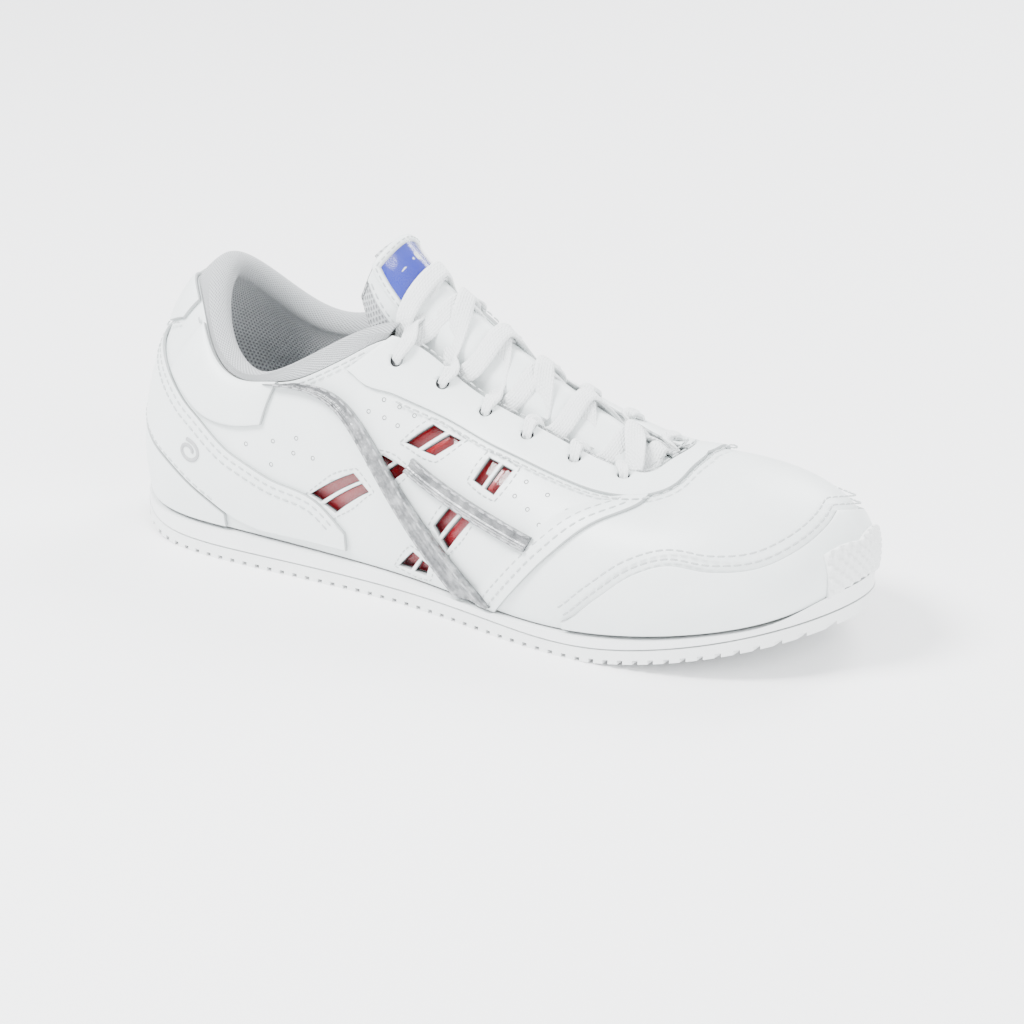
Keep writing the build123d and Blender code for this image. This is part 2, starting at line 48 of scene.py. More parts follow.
# around, seam with the sole, top edge, then bulge, rise, out and drop of the rib between them
RIBS = [
    (-1.00, 115, 3, 24, 61, 0, 53, 4, 19, 40, 1),
    (-0.90, 107, -18, 19, 59, -7, 51, 7, 22, 33, 0),
    (-0.79, 85, -34, 13, 53, -11, 47, 8, 24, 22, 0),
    (-0.67, 52, -40, 8, 36, -13, 50, 8, 26, 15, 3),
    (-0.56, 22, -38, 7, 15, -14, 57, 8, 27, 14, 5),
    (-0.45, -10, -33, 8, -6, -15, 66, 8, 32, 13, 9),
    (-0.35, -42, -32, 9, -31, -19, 77, 7, 38, 8, 12),
    (-0.23, -78, -33, 10, -70, -27, 59, 6, 24, 7, 5),
    (-0.11, -110, -26, 10, -95, -19, 70, 7, 30, 8, 6),
    (0.00, -125, 0, 11, -104, 0, 84, 6, 34, 12, 8),
    (0.11, -110, 25, 10, -95, 18, 73, 7, 30, 8, 6),
    (0.23, -78, 30, 10, -70, 25, 64, 6, 24, 7, 5),
    (0.35, -42, 27, 9, -31, 18, 78, 6, 38, 8, 12),
    (0.45, -10, 25, 8, -6, 15, 67, 6, 32, 13, 9),
    (0.56, 22, 29, 7, 15, 14, 58, 7, 27, 14, 5),
    (0.67, 52, 36, 8, 36, 13, 51, 7, 26, 15, 3),
    (0.79, 85, 38, 13, 53, 11, 48, 8, 24, 22, 0),
    (0.90, 108, 23, 19, 59, 7, 52, 7, 22, 33, 0),
]
VAMP_SEAM = [(0.0, 0.541), (0.14, 0.576), (0.33, 0.621), (0.55, 0.677), (0.71, 0.736), (1.0, 0.80)]
COLLAR_RIM = [(0.0, 0.80), (0.10, 0.955), (0.17, 0.935), (0.24, 0.88), (0.285, 0.79),
              (0.32, 0.83), (0.36, 0.97), (0.40, 0.985)]
EYESTAY_LOW = [(0.33, 0.76), (0.36, 0.67), (0.40, 0.69), (0.46, 0.75), (0.54, 0.737),
               (0.63, 0.722), (0.69, 0.72), (0.74, 0.745), (0.80, 0.81), (0.90, 0.90), (1.0, 0.938)]
COUNTER_TOP = [(0.0, 0.26), (0.11, 0.243), (0.15, 0.22), (0.20, 0.135), (0.24, 0.05), (0.27, 0.02)]
HEEL_PANEL_TOP = [(0.0, 0.54), (0.15, 0.543), (0.18, 0.52), (0.24, 0.36), (0.28, 0.25),
                  (0.34, 0.158), (0.38, 0.06), (0.41, 0.02)]
HEEL_TAB_LOW = [(0.0, 0.58), (0.04, 0.60), (0.085, 0.79), (0.11, 0.93)]
ANKLE_LOW = [(0.10, 0.58), (0.15, 0.57), (0.18, 0.55), (0.22, 0.54), (0.30, 0.51)]
TOE_CAP_TOP = [(0.62, 0.02), (0.65, 0.05), (0.69, 0.17), (0.73, 0.29), (0.77, 0.345), (0.81, 0.305),
               (0.86, 0.285), (0.91, 0.315), (0.97, 0.38), (1.0, 0.42)]
EYELETS = [(0.380, 0.846), (0.435, 0.895), (0.501, 0.905), (0.572, 0.885), (0.648, 0.885), (0.734, 0.905)]
WINDOWS = [
    [(0.426, 0.522), (0.448, 0.687), (0.488, 0.696), (0.464, 0.552)],
    [(0.518, 0.532), (0.530, 0.677), (0.568, 0.662), (0.550, 0.502)],
    [(0.394, 0.353), (0.404, 0.413), (0.438, 0.423), (0.422, 0.338)],
    [(0.328, 0.184), (0.376, 0.294), (0.396, 0.249), (0.358, 0.134)],
    [(0.476, 0.249), (0.496, 0.378), (0.526, 0.348), (0.494, 0.169)],
    [(0.428, 0.030), (0.448, 0.104), (0.468, 0.075), (0.462, 0.030)],
]
REAR_BAR = [(0.248, 0.821), (0.290, 0.731), (0.552, 0.020), (0.502, 0.020)]
FRONT_BAR = [(0.410, 0.428), (0.416, 0.507), (0.612, 0.378), (0.602, 0.303)]
PUNCHED = [(0.387, 0.637), (0.376, 0.556), (0.406, 0.649), (0.395, 0.564), (0.425, 0.66), (0.412, 0.568),
           (0.248, 0.429), (0.279, 0.421), (0.305, 0.347), (0.305, 0.413), (0.281, 0.309), (0.328, 0.32),
           (0.589, 0.629), (0.578, 0.537), (0.598, 0.498), (0.616, 0.444), (0.621, 0.606), (0.65, 0.56)]


# ---------------------------------------------------------------- the leather surface
def closed_spline(rows):
    """Smooth curve through rows of (around, values...), which repeats every 2, for arrays."""
    data = np.array(rows, float)
    knots, values = data[:, 0], data[:, 1:]
    count = len(knots)
    steps = np.diff(np.append(knots, knots[0] + 2.0))
    system, right = np.zeros((count, count)), np.zeros(values.shape)
    for i in range(count):
        before, after, nxt = steps[i - 1], steps[i], (i + 1) % count
        system[i, i - 1] += before
        system[i, i] += 2 * (before + after)
        system[i, nxt] += after
        right[i] = 6 * ((values[nxt] - values[i]) / after - (values[i] - values[i - 1]) / before)
    bend = np.linalg.solve(system, right)

    def curve(around):
        place = (around - knots[0]) % 2.0 + knots[0]
        i = np.searchsorted(knots, place, side="right") - 1
        j = (i + 1) % count
        span = steps[i][..., None]
        b = (place - knots[i])[..., None] / span
        a = 1 - b
        return (a * values[i] + b * values[j]
                + ((a ** 3 - a) * bend[i] + (b ** 3 - b) * bend[j]) * span * span / 6)

    return curve


def open_curve(points):
    """Smooth curve through rows of (place, values...), for arrays of places."""
    data = np.array(points, float)
    places, values = data[:, 0], data[:, 1:]
    slopes = np.gradient(values, places, axis=0)

    def curve(place):
        place = np.asarray(place, float)
        i = np.clip(np.searchsorted(places, place) - 1, 0, len(places) - 2)
        span = (places[i + 1] - places[i])[..., None]
        t = np.clip((place - places[i])[..., None] / span, 0, 1)
        return ((2 * t ** 3 - 3 * t ** 2 + 1) * values[i] + (t ** 3 - 2 * t ** 2 + t) * span * slopes[i]
                + (3 * t ** 2 - 2 * t ** 3) * values[i + 1] + (t ** 3 - t ** 2) * span * slopes[i + 1])

    return curve


def line_of(points):
    """Height over the distance from the heel, for either side of the shoe."""
    curve = open_curve(points)
    return lambda around: curve(np.where(np.abs(around) <= 1, np.abs(around), 2 - np.abs(around)))[..., 0]


rib_values = closed_spline(RIBS)
vamp_seam_curve = open_curve(VAMP_SEAM)
collar_rim, eyestay_low = line_of(COLLAR_RIM), line_of(EYESTAY_LOW)
counter_top, heel_panel_top = line_of(COUNTER_TOP), line_of(HEEL_PANEL_TOP)
heel_tab_low, ankle_low, toe_cap_top = line_of(HEEL_TAB_LOW), line_of(ANKLE_LOW), line_of(TOE_CAP_TOP)


def vamp_seam(up):
    return vamp_seam_curve(up)[..., 0]


def unit(vectors):
    return vectors / np.maximum(np.linalg.norm(vectors, axis=-1, keepdims=True), 1e-12)


def leather(around, up):
    """Outer face of the base leather, in millimetres."""
    around, up = np.broadcast_arrays(np.asarray(around, float), np.asarray(up, float))
    values = rib_values(around)
    foot, top = values[..., 0:3], values[..., 3:6]
    along = rib_values(around + 0.001)[..., 0:2] - rib_values(around - 0.001)[..., 0:2]
    out = unit(np.stack([along[..., 1], -along[..., 0]], -1))
    out = np.where((foot[..., :2] * out).sum(-1, keepdims=True) < 0, -out, out)
    away = unit((foot - top)[..., :2])
    low = foot + np.concatenate([out * values[..., 6:7], values[..., 7:8]], -1)
    high = top + np.concatenate([away * values[..., 8:9], -values[..., 9:10]], -1)
    up = up[..., None]
    rest = 1 - up
    point = rest ** 3 * foot + 3 * rest ** 2 * up * low + 3 * rest * up ** 2 * high + up ** 3 * top
    return point * GRADE - CENTRE


def outward(around, up):
    e = 0.002
    along = leather(around + e, up) - leather(around - e, up)
    rising = leather(around, np.minimum(up + e, 1)) - leather(around, np.maximum(up - e, 0))
    return unit(np.cross(rising, along))


def lifted(around, up, lift):
    around, up = np.broadcast_arrays(np.asarray(around, float), np.asarray(up, float))
    return leather(around, up) + outward(around, up) * np.asarray(lift, float)[..., None]


# ---------------------------------------------------------------- mesh building
def new_object(name, points, faces, material, uvs=None, smooth=True):
    mesh = bpy.data.meshes.new(name)
    mesh.from_pydata([tuple(p) for p in np.asarray(points) * MM], [], [tuple(f) for f in faces])
    mesh.validate()
    if uvs is not None:
        layer = mesh.uv_layers.new(name="sheet")
        corner_vertex = np.zeros(len(mesh.loops), int)
        mesh.loops.foreach_get("vertex_index", corner_vertex)
        layer.data.foreach_set("uv", np.asarray(uvs, float)[corner_vertex].ravel())
    mesh.polygons.foreach_set("use_smooth", [smooth] * len(mesh.polygons))
    mesh.materials.append(material)
    mesh.update()
    piece = bpy.data.objects.new(name, mesh)
    bpy.context.scene.collection.objects.link(piece)
    return piece


def ring_faces(rings, sides, start=0, near_end=True):
    """Faces of a row of rings of vertices, closed at its far end and, if asked, at the near one."""
    faces = []
    for ring in range(rings - 1):
        for corner in range(sides):
            a, b = start + ring * sides + corner, start + ring * sides + (corner + 1) % sides
            faces.append((a, b, b + sides, a + sides))
    if near_end:
        faces.append(tuple(range(start + sides - 1, start - 1, -1)))
    last = start + (rings - 1) * sides
    faces.append(tuple(range(last, last + sides)))
    return faces


def grid_faces(columns, rows, flip=False, offset=0):
    faces = []
    for i in range(columns):
        for j in range(rows):
            a = offset + i * (rows + 1) + j
            quad = (a, a + rows + 1, a + rows + 2, a + 1)
            faces.append(quad[::-1] if flip else quad)
    return faces


def closed_sheet(name, point_at, low, high, columns, rows, material, crown=0.35, puff=0.0):
    """Sheet between two lifts of point_at(s, t, lift), with rounded edges. s and t are arrays."""
    edge = min(0.45 * (high - low), crown)
    s_line, t_line = np.linspace(0, 1, columns + 1), np.linspace(0, 1, rows + 1)
    s, t = np.meshgrid(s_line, t_line, indexing="ij")
    swell = puff * (np.sin(math.pi * s) * np.sin(math.pi * t)) ** 0.5
    outer = point_at(s, t, high + swell)
    inner = point_at(s, t, np.full_like(s, low))
    into_s, into_t = unit(np.gradient(outer, axis=0)), unit(np.gradient(outer, axis=1))
    normal = unit(outer - inner)
    outer = outer.copy()
    ring_in = outer.copy()
    for index, direction in (((0, slice(None)), into_s), ((-1, slice(None)), -into_s),
                             ((slice(None), 0), into_t), ((slice(None), -1), -into_t)):
        ring_in[index] += direction[index] * edge
    ring = ([(i, 0) for i in range(columns)] + [(columns, j) for j in range(rows)]
            + [(i, rows) for i in range(columns, 0, -1)] + [(0, j) for j in range(rows, 0, -1)])
    ids = [i * (rows + 1) + j for i, j in ring]
    count = (columns + 1) * (rows + 1)
    flat_outer, flat_inner = ring_in.reshape(-1, 3), inner.reshape(-1, 3)
    flat_normal, flat_edge = normal.reshape(-1, 3), outer.reshape(-1, 3)
    shoulder = flat_edge[ids] - flat_normal[ids] * edge * 0.3
    shoulder = shoulder * 0.6 + (flat_outer[ids] - flat_normal[ids] * edge * 0.05) * 0.4
    wall = flat_edge[ids] - flat_normal[ids] * edge
    points = np.concatenate([flat_outer, flat_inner, shoulder, wall])
    faces = grid_faces(columns, rows) + grid_faces(columns, rows, flip=True, offset=count)
    n = len(ids)
    for k in range(n):
        m = (k + 1) % n
        a, b = ids[k], ids[m]
        c, d = 2 * count + k, 2 * count + m
        e, f = 2 * count + n + k, 2 * count + n + m
        faces += [(b, a, c, d), (d, c, e, f), (f, e, count + a, count + b)]
    uv = np.stack([s * columns, t * rows], -1).reshape(-1, 2)
    uvs = np.concatenate([uv, uv, uv[ids], uv[ids]])
    # face directions: the outer face has to look away from the shoe
    probe = np.cross(points[faces[0][1]] - points[faces[0][0]], points[faces[0][3]] - points[faces[0][0]])
    if probe @ flat_normal[0] < 0:
        faces = [face[::-1] for face in faces]
    piece = new_object(name, points, faces, material, uvs)
    # walls and shoulders of leather panels take a grey material: painted shade along the panel edges
    if material in (white_leather, smooth_leather, edge_leather):
        piece.data.materials.append(painted_edge_shade)
        indices = np.zeros(len(faces), int)
        for k in range(n):
            indices[2 * columns * rows + 3 * k + 1] = indices[2 * columns * rows + 3 * k + 2] = 1
        piece.data.polygons.foreach_set("material_index", indices)
    return piece


def between(start, end, low, high):
    def point_at(s, t, lift):
        around = start + (end - start) * s
        bottom = low(around) if callable(low) else low
        top = high(around) if callable(high) else high
        return lifted(around, bottom + (top - bottom) * t, lift)
    return point_at


def corners(quad, side):
    a, b, c, d = np.array(quad)

    def point_at(s, t, lift):
        s, t = s[..., None], t[..., None]
        low, high = d + (a - d) * s, c + (b - c) * s
        place = low + (high - low) * t
        return lifted(side * place[..., 0], place[..., 1], lift)
    return point_at


# ---------------------------------------------------------------- materials
def tree_of(name, roughness=0.5, metallic=0.0):
    material = bpy.data.materials.new(name)
    material.use_nodes = True
    nodes, links = material.node_tree.nodes, material.node_tree.links
    shader = nodes["Principled BSDF"]
    dial(shader, Roughness=roughness, Metallic=metallic)
    return material, nodes, links, shader


def texture(nodes, links, kind, scale, **settings):
    """Texture laid out in metres of the shoe."""
    place = nodes.new("ShaderNodeTexCoord")
    node = nodes.new(kind)
    node.inputs["Scale"].default_value = scale
    links.new(place.outputs["Object"], node.inputs["Vector"])
    for key, value in settings.items():
        if key in node.inputs:
            node.inputs[key].default_value = value
        else:
            setattr(node, key, value)
    return node


def mottle(nodes, links, shader, source, stops):
    """Base colour that follows a source through stops of (place, colour)."""
    node = nodes.new("ShaderNodeValToRGB")
    elements = node.color_ramp.elements
    while len(elements) < len(stops):
        elements.new(0.5)
    for element, (place, colour) in zip(elements, stops):
        element.position = place
        element.color = (*colour, 1)
    links.new(source, node.inputs["Fac"])
    links.new(node.outputs["Color"], shader.inputs["Base Color"])


def dial(shader, **values):
    """Sets sockets of a shader by their names, with _ for a blank."""
    for socket, value in values.items():
        shader.inputs[socket.replace("_", " ")].default_value = value


def vary_roughness(nodes, links, shader, source, low, high):
    spread = nodes.new("ShaderNodeMapRange")
    spread.inputs["To Min"].default_value, spread.inputs["To Max"].default_value = low, high
    links.new(source, spread.inputs["Value"])
    links.new(spread.outputs["Result"], shader.inputs["Roughness"])


def bump(nodes, links, shader, height, strength, distance, before=None):
    node = nodes.new("ShaderNodeBump")
    node.inputs["Strength"].default_value = strength
    node.inputs["Distance"].default_value = distance
    links.new(height, node.inputs["Height"])
    if before is not None:
        links.new(before.outputs["Normal"], node.inputs["Normal"])
    links.new(node.outputs["Normal"], shader.inputs["Normal"])
    return node


def leather_material(name, colour, roughness=0.42, grain=0.30, coat=0.12):
    """Coated leather: fine pebble grain over soft creases, and a slightly uneven sheen."""
    material, nodes, links, shader = tree_of(name, roughness)
    cells = texture(nodes, links, "ShaderNodeTexVoronoi", 1500, feature="DISTANCE_TO_EDGE")
    fine = texture(nodes, links, "ShaderNodeTexNoise", 2600, Detail=3.0)
    broad = texture(nodes, links, "ShaderNodeTexNoise", 70, Detail=4.0, Roughness=0.55)
    mottle(nodes, links, shader, broad.outputs["Fac"],
           [(0.3, [c * 0.965 for c in colour]), (0.7, [min(1, c * 1.01) for c in colour])])
    vary_roughness(nodes, links, shader, broad.outputs["Fac"], roughness - 0.06, roughness + 0.08)
    first = bump(nodes, links, shader, broad.outputs["Fac"], 0.16, 0.0012)
    second = bump(nodes, links, shader, cells.outputs["Distance"], grain, 0.00012, first)
    bump(nodes, links, shader, fine.outputs["Fac"], grain * 0.5, 0.00008, second)
    dial(shader, Coat_Weight=coat, Coat_Roughness=0.35, Subsurface_Weight=0.04,
         Subsurface_Radius=(0.001, 0.001, 0.001))
    return material


def thread_material(name, colour):
    """Twisted thread."""
    material, nodes, links, shader = tree_of(name, 0.6)
    twist = texture(nodes, links, "ShaderNodeTexWave", 900, bands_direction="DIAGONAL")
    mottle(nodes, links, shader, twist.outputs["Fac"], [(0, [c * 0.86 for c in colour]), (1, colour)])
    bump(nodes, links, shader, twist.outputs["Fac"], 0.5, 0.0001)
    dial(shader, Sheen_Weight=0.2)
    return material


def mesh_material(name, colour, hole_painted_shade, pitch=1.7, depth=0.0005):
    """Spacer mesh: rows of rounded holes, laid out in millimetres over the sheet, with painted shade in the
    holes.
    """
    material, nodes, links, shader = tree_of(name, 0.75)
    place = nodes.new("ShaderNodeUVMap")
    place.uv_map = "sheet"
    split = nodes.new("ShaderNodeSeparateXYZ")
    links.new(place.outputs["UV"], split.inputs["Vector"])

    def maths(operation, *values):
        node = nodes.new("ShaderNodeMath")
        node.operation = operation
        for index, value in enumerate(values):
            if isinstance(value, (int, float)):
                node.inputs[index].default_value = value
            else:
                links.new(value, node.inputs[index])
        return node.outputs[0]

    u = maths("DIVIDE", split.outputs["X"], pitch)
    v = maths("DIVIDE", split.outputs["Y"], pitch * 0.75)
    row = maths("FLOOR", v)
    shift = maths("MULTIPLY", maths("MODULO", row, 2.0), 0.5)
    cell_u = maths("SUBTRACT", maths("FRACT", maths("ADD", u, shift)), 0.5)
    cell_v = maths("SUBTRACT", maths("FRACT", v), 0.5)
    reach = maths("SQRT", maths("ADD", maths("MULTIPLY", cell_u, cell_u),
                                maths("MULTIPLY", maths("MULTIPLY", cell_v, cell_v), 0.8)))
    fuzz = texture(nodes, links, "ShaderNodeTexNoise", 1800, Detail=3.0)
    edge = maths("ADD", reach, maths("MULTIPLY", maths("SUBTRACT", fuzz.outputs["Fac"], 0.5), 0.12))
    open_ = nodes.new("ShaderNodeMapRange")
    open_.interpolation_type = "SMOOTHSTEP"
    open_.inputs["From Min"].default_value = 0.22
    open_.inputs["From Max"].default_value = 0.38
    links.new(edge, open_.inputs["Value"])
    mottle(nodes, links, shader, open_.outputs["Result"], [(0, hole_painted_shade), (1, colour)])
    first = bump(nodes, links, shader, open_.outputs["Result"], 0.85, depth)
    bump(nodes, links, shader, fuzz.outputs["Fac"], 0.35, 0.00015, first)
    dial(shader, Sheen_Weight=0.35, Sheen_Roughness=0.5)
    return material


def foil_material(name):
    """Silver foil on leather: crinkled grain, brighter where it is rubbed."""
    material, nodes, links, shader = tree_of(name, 0.36, 0.7)
    cells = texture(nodes, links, "ShaderNodeTexVoronoi", 1100, feature="F1")
    broad = texture(nodes, links, "ShaderNodeTexNoise", 260, Detail=5.0, Roughness=0.65)
    mottle(nodes, links, shader, broad.outputs["Fac"],
           [(0.3, (0.10, 0.105, 0.11)), (0.5, (0.24, 0.245, 0.25)), (0.72, (0.46, 0.47, 0.475))])
    vary_roughness(nodes, links, shader, broad.outputs["Fac"], 0.22, 0.48)
    first = bump(nodes, links, shader, broad.outputs["Fac"], 0.35, 0.0005)
    bump(nodes, links, shader, cells.outputs["Distance"], 0.45, 0.0003, first)
    return material


def rubber_material(name, colour, roughness=0.48, grain=0.3, scale=2200):
    """Moulded rubber or foam with a fine sprayed texture."""
    material, nodes, links, shader = tree_of(name, roughness)
    fine = texture(nodes, links, "ShaderNodeTexNoise", scale, Detail=4.0)
    broad = texture(nodes, links, "ShaderNodeTexNoise", 55, Detail=3.0)
    mottle(nodes, links, shader, broad.outputs["Fac"], [(0.3, [c * 0.96 for c in colour]), (0.7, colour)])
    bump(nodes, links, shader, fine.outputs["Fac"], grain, 0.0001)
    dial(shader, Subsurface_Weight=0.06, Subsurface_Radius=(0.002, 0.002, 0.002))
    return material


def film_material(name):
    """Clear film with a faint wave, so that its reflections bend."""
    material, nodes, links, shader = tree_of(name, 0.06)
    wave = texture(nodes, links, "ShaderNodeTexNoise", 45, Detail=1.0)
    mottle(nodes, links, shader, wave.outputs["Fac"],
           [(0.3, (0.02, 0.02, 0.022)), (0.7, (0.05, 0.05, 0.055))])
    bump(nodes, links, shader, wave.outputs["Fac"], 0.25, 0.002)
    dial(shader, Alpha=0.14, Specular_IOR_Level=0.9, Coat_Weight=1.0, Coat_Roughness=0.04)
    return material


def card_material(name, colour, painted_sheen_colour):
    """Printed card or gel behind the film, a little paler across a soft diagonal sheen, which is a painted
    reflection.
    """
    material, nodes, links, shader = tree_of(name, 0.28)
    print_ = texture(nodes, links, "ShaderNodeTexNoise", 1500, Detail=2.0)
    soft = texture(nodes, links, "ShaderNodeTexNoise", 22, Detail=1.0)
    # paler patches over the card's own colour: painted reflection
    mottle(nodes, links, shader, soft.outputs["Fac"], [(0.40, colour), (0.62, painted_sheen_colour)])
    bump(nodes, links, shader, print_.outputs["Fac"], 0.12, 0.00006)
    dial(shader, Coat_Weight=0.8, Coat_Roughness=0.08)
    return material


def lace_material(name, colour):
    """Flat braid: a herringbone of fine yarns along the lace."""
    material, nodes, links, shader = tree_of(name, 0.72)
    place = nodes.new("ShaderNodeUVMap")
    place.uv_map = "sheet"
    left = nodes.new("ShaderNodeTexWave")
    left.bands_direction = "DIAGONAL"
    left.inputs["Scale"].default_value = 0.55
    left.inputs["Distortion"].default_value = 0.4
    across = nodes.new("ShaderNodeTexWave")
    across.bands_direction = "X"
    across.inputs["Scale"].default_value = 0.42
    across.inputs["Distortion"].default_value = 0.5
    links.new(place.outputs["UV"], left.inputs["Vector"])
    links.new(place.outputs["UV"], across.inputs["Vector"])
    mix = nodes.new("ShaderNodeMath")
    mix.operation = "MULTIPLY"
    links.new(left.outputs["Fac"], mix.inputs[0])
    links.new(across.outputs["Fac"], mix.inputs[1])
    mottle(nodes, links, shader, mix.outputs[0], [(0.0, [c * 0.86 for c in colour]), (0.45, colour)])
    fuzz = texture(nodes, links, "ShaderNodeTexNoise", 2500, Detail=3.0)
    first = bump(nodes, links, shader, mix.outputs[0], 0.7, 0.0003)
    bump(nodes, links, shader, fuzz.outputs["Fac"], 0.35, 0.0001, first)
    dial(shader, Sheen_Weight=0.4, Sheen_Roughness=0.4)
    return material


def fabric_material(name, colour, scale=900):
    """Plain woven cloth or board."""
    material, nodes, links, shader = tree_of(name, 0.85)
    weave = texture(nodes, links, "ShaderNodeTexVoronoi", scale, feature="F1")
    broad = texture(nodes, links, "ShaderNodeTexNoise", 120, Detail=3.0)
    mottle(nodes, links, shader, broad.outputs["Fac"], [(0.3, [c * 0.88 for c in colour]), (0.7, colour)])
    bump(nodes, links, shader, weave.outputs["Distance"], 0.6, 0.0003)
    dial(shader, Sheen_Weight=0.25)
    return material


WHITE = (0.79, 0.835, 0.83)
white_leather = leather_material("white_leather", WHITE)
smooth_leather = leather_material("vamp_leather", WHITE, 0.40, 0.20, 0.15)
edge_leather = leather_material("tongue_leather", WHITE, 0.45, 0.35)
# grey panel edge material: painted shade standing in for the shading along the panel edges
painted_edge_shade = leather_material("painted_edge_shade", (0.40, 0.42, 0.42), 0.7, 0.3, 0.0)
# white thread given a grey colour: painted shade standing in for the shadow of the stitches
thread = thread_material("white_thread", (0.50, 0.53, 0.53))
grey_thread = thread_material("silver_thread", (0.40, 0.41, 0.42))
air_mesh = mesh_material("air_mesh", (0.46, 0.48, 0.49), (0.20, 0.21, 0.22))
tongue_mesh = mesh_material("tongue_mesh", (0.50, 0.52, 0.53), (0.24, 0.25, 0.26))
foil = foil_material("silver_foil")
sole_foam = rubber_material("sole_foam", (0.84, 0.862, 0.862))
tread_rubber = rubber_material("tread_rubber", (0.80, 0.82, 0.815), 0.55, 0.45, 1600)
clear_film = film_material("clear_film")
red_card = card_material("red_card", (0.50, 0.002, 0.010), (0.58, 0.015, 0.035))
blue_card = card_material("blue_card", (0.0, 0.004, 0.36), (0.01, 0.03, 0.50))
pale_print = card_material("pale_print", (0.80, 0.84, 0.90), (0.88, 0.90, 0.94))
pane_edge_shade = rubber_material("pane_edge_shade", (0.035, 0.035, 0.038), 0.5, 0.2)
lace_braid = lace_material("lace_braid", (0.86, 0.885, 0.885))
lace_tip = rubber_material("lace_tip", (0.85, 0.86, 0.86), 0.2, 0.05)
board = fabric_material("board", (0.62, 0.60, 0.56), 700)
foam = fabric_material("foam", (0.80, 0.78, 0.70), 1600)
liner_cloth = fabric_material("sockliner_cloth", (0.60, 0.62, 0.65), 1100)
dark_hole = rubber_material("hole_shade", (0.06, 0.062, 0.065), 0.9, 0.2)

CAD_LOOKS = {"outsole": tread_rubber, "midsole": sole_foam, "strobel_board": board, "heel_counter": board,
             "toe_puff": board, "collar_foam": foam, "tongue_foam": foam, "lace_tips": lace_tip}
for node_name, look in CAD_LOOKS.items():
    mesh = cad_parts[node_name].data
    mesh.materials.clear()
    mesh.materials.append(look)


def finish_piece(piece, slot, *replaced, body="shoe"):
    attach(piece, body)
    if replaced:
        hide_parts(*replaced)
    return piece


def cut(piece, *cutters):
    """Takes closed cutters out of a piece and keeps its material and sheet coordinates."""
    for cutter in cutters:
        modifier = piece.modifiers.new("cut", "BOOLEAN")
        modifier.object, modifier.solver, modifier.operation = cutter, "EXACT", "DIFFERENCE"
    bpy.context.view_layer.update()
    cut_mesh = bpy.data.meshes.new_from_object(piece.evaluated_get(bpy.context.evaluated_depsgraph_get()))
    piece.modifiers.clear()
    piece.data = cut_mesh
    for cutter in cutters:
        bpy.data.objects.remove(cutter)
    return piece


# ---------------------------------------------------------------- seams
def resampled(points, normals, pitch):
    steps = np.linalg.norm(np.diff(points, axis=0), axis=1)
    along = np.concatenate([[0], np.cumsum(steps)])

    def at(distance):
        place = np.array([np.interp(distance, along, points[:, k]) for k in range(3)]).T
        normal = np.array([np.interp(distance, along, normals[:, k]) for k in range(3)]).T
        return place, unit(normal)

    return at, along[-1], int(along[-1] / pitch)


def stitches(name, path, pitch=2.7, length=2.05, radius=0.27, material=thread, body="shoe",
             slot="white_leather"):
    """A row of sewn stitches along a path of points and normals, as one mesh."""
    points, normals = path
    at, total, count = resampled(points, normals, pitch)
    pitch = total / max(count, 1)
    vertices, faces = [], []
    rings = ((0.0, -0.55, 0.5), (0.14, 0.02, 0.95), (0.5, 0.22, 1.0), (0.86, 0.02, 0.95), (1.0, -0.55, 0.5))
    for k in range(count):
        begin = k * pitch + 0.5 * (pitch - length)
        start = len(vertices)
        for share, rise, size in rings:
            place, normal = at(begin + share * length)
            ahead, _ = at(begin + share * length + 0.3)
            direction = unit(ahead - place)
            side = np.cross(direction, normal)
            middle = place + normal * rise * radius
            for corner in range(6):
                angle = corner * math.pi / 3
                spoke = side * math.cos(angle) + normal * math.sin(angle) * 0.8
                vertices.append(middle + spoke * radius * size)
        faces += ring_faces(len(rings), 6, start)
    piece = new_object(name, vertices, faces, material)
    return finish_piece(piece, slot, body=body)


def tube(points, normals, radius, sides=8, flat=1.0):
    """Vertices and faces of a thin tube through points."""
    vertices = []
    directions = unit(np.gradient(points, axis=0))
    for point, normal, direction in zip(points, normals, directions):
        side = unit(np.cross(direction, normal))
        up = np.cross(side, direction)
        for k in range(sides):
            angle = 2 * math.pi * k / sides
            vertices.append(point + (side * math.cos(angle) + up * math.sin(angle) * flat) * radius)
    return vertices, ring_faces(len(points), sides)


def seam(around, up, lift, shift=0.0):
    """Points and normals of a line on the upper, moved sideways over the surface by shift."""
    around, up = np.broadcast_arrays(np.asarray(around, float), np.asarray(up, float))
    points, normals = lifted(around, up, lift), outward(around, up)
    side = unit(np.cross(normals, np.gradient(points, axis=0)))
    return points + side * shift, normals


def edge_seams(name, start, end, line, lift, shifts, pitch=2.7, samples=160, **kwargs):
    around = np.linspace(start, end, samples)
    for index, shift in enumerate(shifts):
        stitches(f"{name}_stitches_{index}", seam(around, line(around), lift, shift), pitch, **kwargs)


# ---------------------------------------------------------------- base leather
def quarter_points(side, back, low, top, gap=0.002, lap=0.0):
    def point_at(s, t, lift):
        lift = lift + lap * np.clip((s - 0.93) / 0.03, 0, 1)
        fore = vamp_seam(low + (THROAT_UP - low) * t) - gap
        around = back + (fore - back) * s
        return lifted(side * around, low + (top(around) - low) * t, lift)
    return point_at


def round_toe(gap, low, high):
    def point_at(s, t, lift):
        up = low + (high - low) * t
        start = -(vamp_seam(up) + gap)
        return lifted(start + (-2 - 2 * start) * s, up, lift)
    return point_at


